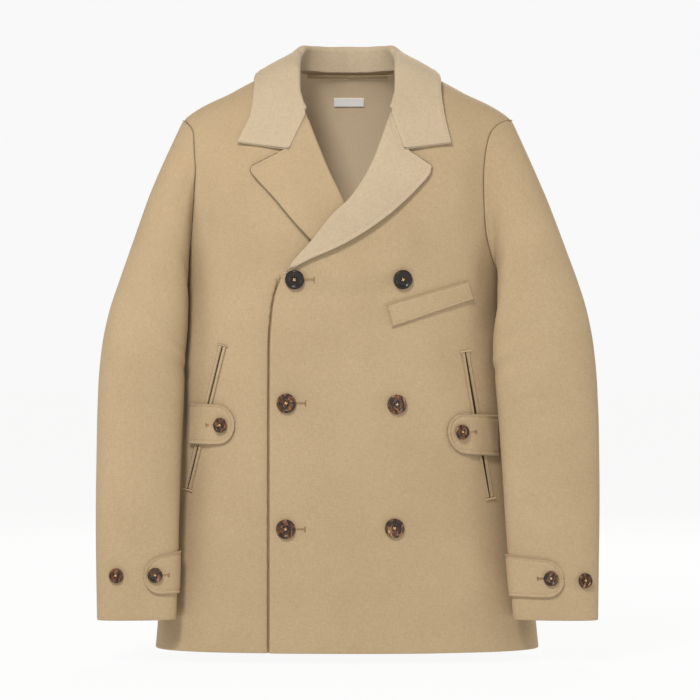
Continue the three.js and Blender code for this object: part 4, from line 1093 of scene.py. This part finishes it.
def cloth_group():
    """Woven cloth laid along the piece's flat measure: threads both ways, a nap, slow changes of shade."""
    tree = bpy.data.node_groups.new("woven cloth", "ShaderNodeTree")
    for socket in ("Deep INPUT Color", "Light INPUT Color", "Threads INPUT Float", "Nap INPUT Float",
                   "Color OUTPUT Color", "Height OUTPUT Float"):
        name, way, kind = socket.split()
        tree.interface.new_socket(name, in_out=way, socket_type="NodeSocket" + kind)
    given = node(tree, "NodeGroupInput", {})
    flat = node(tree, "ShaderNodeTexCoord", {})
    warp, weft = (
        noise(tree, node(tree, "ShaderNodeMapping", {"Vector": flat["UV"], "Scale": scale})[0],
              given["Threads"], 2.0, 0.6)
        for scale in ((1.0, 0.16, 1.0), (0.16, 1.0, 1.0)))
    nap = noise(tree, flat["Object"], 420.0, 4.0, 0.7)
    cloud = noise(tree, flat["Object"], 11.0, 3.0, 0.55)
    height = mix(tree, given["Nap"], mix(tree, 0.5, warp, weft), nap)
    spread = node(tree, "ShaderNodeMapRange", {0: mix(tree, 0.22, height, cloud), 1: 0.32, 2: 0.68})[0]
    colour = mix_colour(tree, spread, given["Deep"], given["Light"])
    node(tree, "NodeGroupOutput", {"Color": colour, "Height": height})
    return tree


WOVEN = cloth_group()


def linear(screen):
    """Shader colour from a screen colour of 0 to 255."""
    return (*((c / 255 / 12.92) if c < 10.3 else ((c / 255 + 0.055) / 1.055) ** 2.4 for c in screen), 1)


def material(name, inputs_in):
    """A material whose surface takes the inputs that inputs_in makes in its tree."""
    made = bpy.data.materials.new(name)
    made.use_nodes = True
    fill(made.node_tree, made.node_tree.nodes["Principled BSDF"], inputs_in(made.node_tree))
    return made


def bump(tree, height, strength, distance):
    return node(tree, "ShaderNodeBump", {"Height": height, "Strength": strength, "Distance": distance})[0]


def cloth_material(name, deep, light, threads, nap, relief, sheen, roughness=0.9):
    deep, light = linear(deep), linear(light)

    def inputs(tree):
        cloth = node(tree, "ShaderNodeGroup", {"Deep": deep, "Light": light, "Threads": threads, "Nap": nap},
                     node_tree=WOVEN)
        return {"Base Color": cloth["Color"], "Normal": bump(tree, cloth["Height"], relief, 0.0006),
                "Roughness": roughness, "Specular IOR Level": 0.15,
                "Sheen Weight": sheen, "Sheen Roughness": 0.45, "Sheen Tint": (1.0, 0.95, 0.86, 1)}
    made = material(name, inputs)
    made.diffuse_color = light
    return made


def horn_material(name, dark):
    """Polished horn, dark up to that share of the noise, then with brown and cream streaks."""
    stops = [(0.0, (0.008, 0.006, 0.005)), (dark, (0.018, 0.012, 0.009)), (dark + 0.1, (0.10, 0.038, 0.014)),
             (dark + 0.2, (0.24, 0.11, 0.04)), (dark + 0.3, (0.5, 0.38, 0.23))]

    def inputs(tree):
        place = node(tree, "ShaderNodeTexCoord", {})["Object"]
        bent = node(tree, "ShaderNodeMapping", {
            "Vector": place, "Scale": (1.0, 0.35, 0.55), "Rotation": (0.3, 0.2, 0.6)})[0]
        ramp = tree.nodes.new("ShaderNodeValToRGB")
        while len(ramp.color_ramp.elements) < len(stops):
            ramp.color_ramp.elements.new(0.5)
        for element, (at, colour) in zip(ramp.color_ramp.elements, stops):
            element.position = at
            element.color = (*colour, 1)
        fill(tree, ramp, {0: noise(tree, bent, 150.0, 5.0, 0.6, 1.4)})
        return {"Base Color": ramp.outputs["Color"],
                "Normal": bump(tree, noise(tree, place, 1400.0, 2.0), 0.08, 0.0002),
                "Roughness": 0.3, "Specular IOR Level": 0.3, "Coat Weight": 0.12, "Coat Roughness": 0.12}
    return material(name, inputs)


def thread_material(name, colour, light):
    def inputs(tree):
        twist = noise(tree, node(tree, "ShaderNodeTexCoord", {})["Object"], 1500.0, 2.0)
        return {"Base Color": mix_colour(tree, twist, linear(colour), linear(light)),
                "Roughness": 0.6, "Sheen Weight": 0.2}
    return material(name, inputs)


# Screen colours of the threads' shade and light, thread count, nap, relief, sheen and roughness
WOOL = cloth_material("camel wool", (160, 138, 106), (186, 164, 132), 700.0, 0.45, 0.35, 0.12)
# A lighter copy of the camel wool for the collar and the left lapel: painted light, standing in for the light
# that falls on them
PAINTED_LIGHT_WOOL = cloth_material(
    "camel wool painted lighter", (169, 151, 125), (195, 178, 152), 700.0, 0.45, 0.35, 0.14)
LINING_CLOTH = cloth_material("smooth lining", (208, 186, 154), (226, 206, 176), 1500.0, 0.1, 0.12, 0.1, 0.6)
LABEL_CLOTH = cloth_material("label cloth", (250, 250, 249), (255, 255, 255), 1800.0, 0.1, 0.2, 0.1, 0.7)
HORN = horn_material("polished horn", 0.44)
DARK_HORN = horn_material("dark horn", 0.6)
THREAD = thread_material("wool thread", (176, 146, 104), (214, 188, 146))
# Dark cloth for the strip between the pocket lips: painted shade, for the shadow in the pocket's opening
POCKET_SHADE_CLOTH = cloth_material("painted shade in a pocket", (52, 38, 26), (66, 50, 36), 1500.0, 0.1, 0.1, 0.0)
BUTTON_THREAD = thread_material("button thread", (190, 140, 78), (232, 200, 150))
HOLE_THREAD = thread_material("buttonhole thread", (136, 100, 60), (170, 132, 86))


def dress(obj, material, slot, *nodes):
    obj.data.materials.append(material)
    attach(obj, "root")
    if nodes:
        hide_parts(*nodes)
    return obj


# The coat's panels
front_points = {sign: front_grid(sign) for sign in (-1, 1)}
back_points = back_grid()
for sign in (-1, 1):
    grid = sunk_seam(front_points[sign], False, from_middle, ["end"])
    dress(
        shell("wool_front_" + SIDES[sign], grid, CLOTH, from_middle,
              adjust=square_front, soft=("start", "low")),
        WOOL, "wool", "front_" + SIDES[sign])
grid = sunk_seam(back_points, False, from_middle, ["start", "end"])
dress(
    shell("wool_back", grid, CLOTH, from_middle, adjust=square_back, soft=("low",)), WOOL, "wool", "back")


def sleeve_shell(sign):
    middle = sleeve_axis(sign, np.array(0.5))
    grid = sunk_seam(sleeve_grid(sign), True, lambda p: p - middle, ["low"])

    def hold_back(inner):
        """Keeps the inner wall's first ring outside the armhole's own plane."""
        limit = grid[0, :, 0] - sign * 1.2
        x = np.where(sign * (limit - inner[0, :, 0]) > 0, limit, inner[0, :, 0])
        inner[0, :, 0] = np.where(sign * (grid[0, :, 0] - x) > 0, grid[0, :, 0], x)
    return shell("wool_sleeve_" + SIDES[sign], grid, CLOTH, lambda p: p - middle, closed=True,
                 soft=("high",), finish=hold_back)


# Inset, depth and width of the groove beside a turned edge
TURNED_GROOVE = (5.5, 0.7, 2.6)
for sign in (-1, 1):
    dress(sleeve_shell(sign), WOOL, "wool", "sleeve_" + SIDES[sign])
    grid = groove(lapel_grid(sign), ["end", "high"], *TURNED_GROOVE)
    # The left lapel takes the lighter copy of the wool, which is painted light; the right lapel keeps the
    # plain camel wool
    dress(
        shell("wool_lapel_" + SIDES[sign], grid, DOUBLE, to_front, soft=("end", "low", "high")),
        PAINTED_LIGHT_WOOL if sign > 0 else WOOL, "wool", "lapel_" + SIDES[sign])
# The collar also takes the lighter copy of the wool, which is painted light
grid = groove(collar_grid(), ["end", "low", "high"], *TURNED_GROOVE)
dress(
    shell("wool_collar", grid, DOUBLE, to_front, soft=ALL_SIDES), PAINTED_LIGHT_WOOL, "wool", "collar")

# Half lining, strip and label inside the back
LINING_LOW_Z = -447.3
LINING_TOP = 0.068
row_low = np.searchsorted(LOW_Z[:, 0], LINING_LOW_Z)
row_high = LOW_ROWS + np.argmin(np.abs(YOKE_S[:, 0] - LINING_TOP))
column = BACK_COLUMNS // 18
inside = back_points[row_low:row_high + 1, column:-column]
inside = inside - grid_normals(inside, False, from_middle) * LINING_INSET
dress(
    shell("half_lining", inside, LINING, from_middle), LINING_CLOTH, "lining", "back_lining")


def inner_patch(name, box, rows, cols):
    def place(u, v):
        x = box["x"] + box["half"] * (2 * v - 1)
        z = box["z"] + box["high"] * (u - 0.5)
        return yoke_out(x, yoke_place(x, z), -box["inset"])
    return shell(name, patch(rows, cols, place), box["thick"], from_middle, soft=ALL_SIDES)


dress(inner_patch("neck_strip", NECK_TAPE, 6, 60), WOOL, "wool", "neck_tape")
dress(inner_patch("bare_label", LABEL, 14, 44), LABEL_CLOTH, "label", "label")

# Pieces that lie on the fronts and round the cuffs. Straps: grid, groove and inset of the stitches
STRAPS = {
    "waist": (waist_tab_grid, (4.8, 0.9, 1.3), 5.0),
    "cuff": (cuff_tab_grid, (4.4, 0.9, 1.2), 4.2),
}
STRAP_SIDES = ("low", "start", "end")
STRAP_SOFT = {"waist": STRAP_SIDES, "cuff": ALL_SIDES}
WELT_GROOVE = (3.4, 0.6, 1.1)
TACK_HALF = 6.4
sewing, straps, lips = [], {}, {-1: [], 1: []}
for sign in (-1, 1):
    for which, letter in ((1, "a"), (-1, "b")):
        name = "pocket_lip_" + SIDES[sign] + "_" + letter
        lips[sign].append(dress(
            shell(name + "_cloth", lip_grid(sign, which), LIP_THICK, to_front, soft=ALL_SIDES),
            WOOL, "wool", name))
    for kind, (make, sunk, inset) in STRAPS.items():
        grid = groove(make(sign), STRAP_SIDES, *sunk)
        straps[kind, sign] = dress(
            shell(kind + "_strap_" + SIDES[sign], grid, DOUBLE, to_front, soft=STRAP_SOFT[kind]),
            WOOL, "wool", kind + "_tab_" + SIDES[sign])
        sewing.append(stitch_line(*edge_path(grid, inset)))
grid = groove(welt_grid(), ALL_SIDES, *WELT_GROOVE)
straps["welt", 0] = dress(
    shell("breast_welt_cloth", grid, DOUBLE, to_front, soft=ALL_SIDES), WOOL, "wool", "breast_welt")
for sign in (-1, 1):
    # A dark strip between each pocket's lips is painted shade, standing in for the shadow in the pocket's
    # opening
    lips[sign].append(dress(
        shell("pocket_mouth_shade_" + SIDES[sign], mouth_shade_grid(sign), 0.5, to_front), POCKET_SHADE_CLOTH, "lining"))
    for end in (-0.008, 1.008):
        at = beside_pocket(sign, np.array([end, end]), [-TACK_HALF, TACK_HALF], LIP_THICK + 2.6 * SEAM)
        sewing.append(satin(at[0], at[1], unit(xyz(at[0, 0] / 400, -1, 0)), 2.2, 0.6, 0.36))
dress(joined("edge_stitches", sewing), THREAD, "wool")

# Buttons, their thread and their holes. A buttonhole starts under the button
HOLE_START = 6
thread_parts, hole_parts = [], []


def sewn_button(name, size, place, lift, tilt, horn=HORN):
    """A button lifted off a place on the cloth, and three threads each way over its middle."""
    base, normal = place[0] + place[1] * lift, place[1]
    dress(button(name + "_horn", size, base, normal, tilt), horn, "horn", name)
    level = size["thick"] - size["rim"] + 0.18
    t = np.linspace(-1, 1, 9)
    for k in range(2):
        c, s = math.cos(HOLES[k] + tilt), math.sin(HOLES[k] + tilt)
        for shift in (-0.28, 0.0, 0.28):
            line = np.stack([size["spread"] * t * c - shift * s, size["spread"] * t * s + shift * c,
                             level + 0.28 * k + 0.25 * (1 - t ** 2) - 1.3 * np.abs(t) ** 8], axis=-1)
            thread_parts.append(tubes(turned(line, base, normal)[None], 0.26))


def buttonhole(surface, x, z, direction, reach, bar):
    """Two rows of close stitches from under the button outwards, and a bar across their end."""
    def row(start, stop, lift, wide, gap, radius):
        (a, na), (b, nb) = surface(*start), surface(*stop)
        hole_parts.append(satin(a + lift * na, b + lift * nb, unit(na + nb), wide, gap, radius))
    for side in (-0.75, 0.75):
        row((x + direction * HOLE_START, z + side), (x + direction * reach, z + side), 0.3, 1.3, 0.7, 0.26)
    end = x + direction * (reach + 0.9)
    row((end, z - bar / 2), (end, z + bar / 2), 0.2, 2.0, 0.6, 0.28)


for index, (name, x, z, lift) in enumerate(FRONT_BUTTONS):
    sewn_button(name, FRONT_BUTTON, front_surface(1, x, z), lift, 0.3 * index,
                DARK_HORN if index < TOP_BUTTONS else HORN)
    if x < 0:
        buttonhole(lambda a, b: front_surface(1, a, b), x, z, 1, 23.5, 7.5)
for sign in (-1, 1):
    x, z = sign * (WAIST_TABS[sign]["tip"][0] + WAIST_BUTTON_IN), WAIST_TABS[sign]["tip"][1]
    sewn_button("button_waist_" + SIDES[sign], SMALL_BUTTON, front_surface(sign, x, z),
                DOUBLE + SEAM + WAIST_BUTTON_LIFT, 0.7 + sign)

    def on_strap(a, b):
        at, out = front_surface(sign, a, b)
        return at + out * strap_lift(sign, abs(a), b), out
    buttonhole(on_strap, x, z, sign, 17, 5)
for sign in (-1, 1):
    tab = CUFF_TABS[sign]
    sewn_button("button_cuff_tab_" + SIDES[sign], SMALL_BUTTON,
                sleeve_surface(sign, turn_at_x(sign, tab["button_x"]), tab["z"]),
                DOUBLE + SEAM + BUTTON_LIFT, 0.5)

    def on_cuff(a, b):
        at, out = sleeve_surface(sign, turn_at_x(sign, abs(a)), b)
        return at + out * (DOUBLE + SEAM), out
    buttonhole(on_cuff, sign * tab["button_x"], tab["z"], -sign, 16, 4.5)
    x, z = SLEEVE_BUTTONS[sign]
    sewn_button("button_cuff_outer_" + SIDES[sign], SMALL_BUTTON,
                sleeve_surface(sign, turn_at_x(sign, x), z), BUTTON_LIFT, 0.2 - sign)
dress(joined("button_threads", thread_parts), BUTTON_THREAD, "wool")
dress(joined("buttonhole_stitches", hole_parts), HOLE_THREAD, "wool")

# Which pieces lie on each front: its waist strap, its pocket lips and the painted-shade strip between them,
# and on the left front the breast welt
WITH_FRONT = {sign: [straps["waist", sign], *lips[sign]] for sign in (-1, 1)}
WITH_FRONT[1].append(straps["welt", 0])

# Floor, light and camera
FLOOR_Z = -758
FLOOR_HALF = 30000
corners = [(-1, -1), (1, -1), (1, 1), (-1, 1)]
floor = mesh_object("pale_floor", np.array([[x * FLOOR_HALF, y * FLOOR_HALF, FLOOR_Z] for x, y in corners]),
                    np.array([[0, 1, 2, 3]]))
floor.data.materials.append(material("pale paint", lambda tree: {
    "Base Color": (0.05, 0.05, 0.05, 1), "Roughness": 1, "Specular IOR Level": 0,
    "Emission Color": (1, 1, 1, 1), "Emission Strength": 0.928}))

# The room lights the coat dimly and warmly, and looks nearly white
world = bpy.data.worlds.new("pale room")
bpy.context.scene.world = world
world.use_nodes = True
room = world.node_tree
seen = node(room, "ShaderNodeLightPath", {})["Is Camera Ray"]
fill(room, room.nodes["Background"], {
    "Color": mix_colour(room, seen, (1, 0.87, 0.69, 1), (1, 1, 1, 1)),
    "Strength": mix(room, seen, 0.3, 0.945)})

# Lamps: name, place, what they aim at, size and power
LAMPS = [
    ("soft_key", (-0.9, -2.7, 2.1), (0, 0, -0.35), 0.9, 95),
    ("soft_fill", (0.3, -4.1, -0.1), (0, 0, -0.35), 2.0, 17),
    ("soft_side_left", (2.3, -0.6, 0.1), (0.1, 0, -0.35), 1.0, 11),
    ("soft_side_right", (-2.3, -0.6, 0.1), (-0.1, 0, -0.35), 1.0, 9),
    ("soft_back", (0.4, 2.8, 1.4), (0, 0, -0.35), 1.5, 60),
]
for name, place, aim, size, power in LAMPS:
    data = bpy.data.lights.new(name, "AREA")
    data.shape, data.size, data.energy = "DISK", size, power
    lamp = bpy.data.objects.new(name, data)
    bpy.context.scene.collection.objects.link(lamp)
    lamp.location = place
    lamp.rotation_euler = (Vector(aim) - Vector(place)).to_track_quat("-Z", "Y").to_euler()

# The camera's distance, and how wide a picture it takes at the coat's middle, in metres
CAMERA_AWAY = 4.5
PICTURE_WIDE = 0.91
camera_data = bpy.data.cameras.new("camera")
camera_data.sensor_width = 36
camera_data.lens = 36 * CAMERA_AWAY / PICTURE_WIDE
camera = bpy.data.objects.new("camera", camera_data)
bpy.context.scene.collection.objects.link(camera)
camera.location = (0.00325, -CAMERA_AWAY, -0.3601)
camera.rotation_euler = (math.pi / 2, 0, 0)
bpy.context.scene.camera = camera

bpy.context.scene.view_settings.view_transform = "Standard"
bpy.context.view_layer.update()
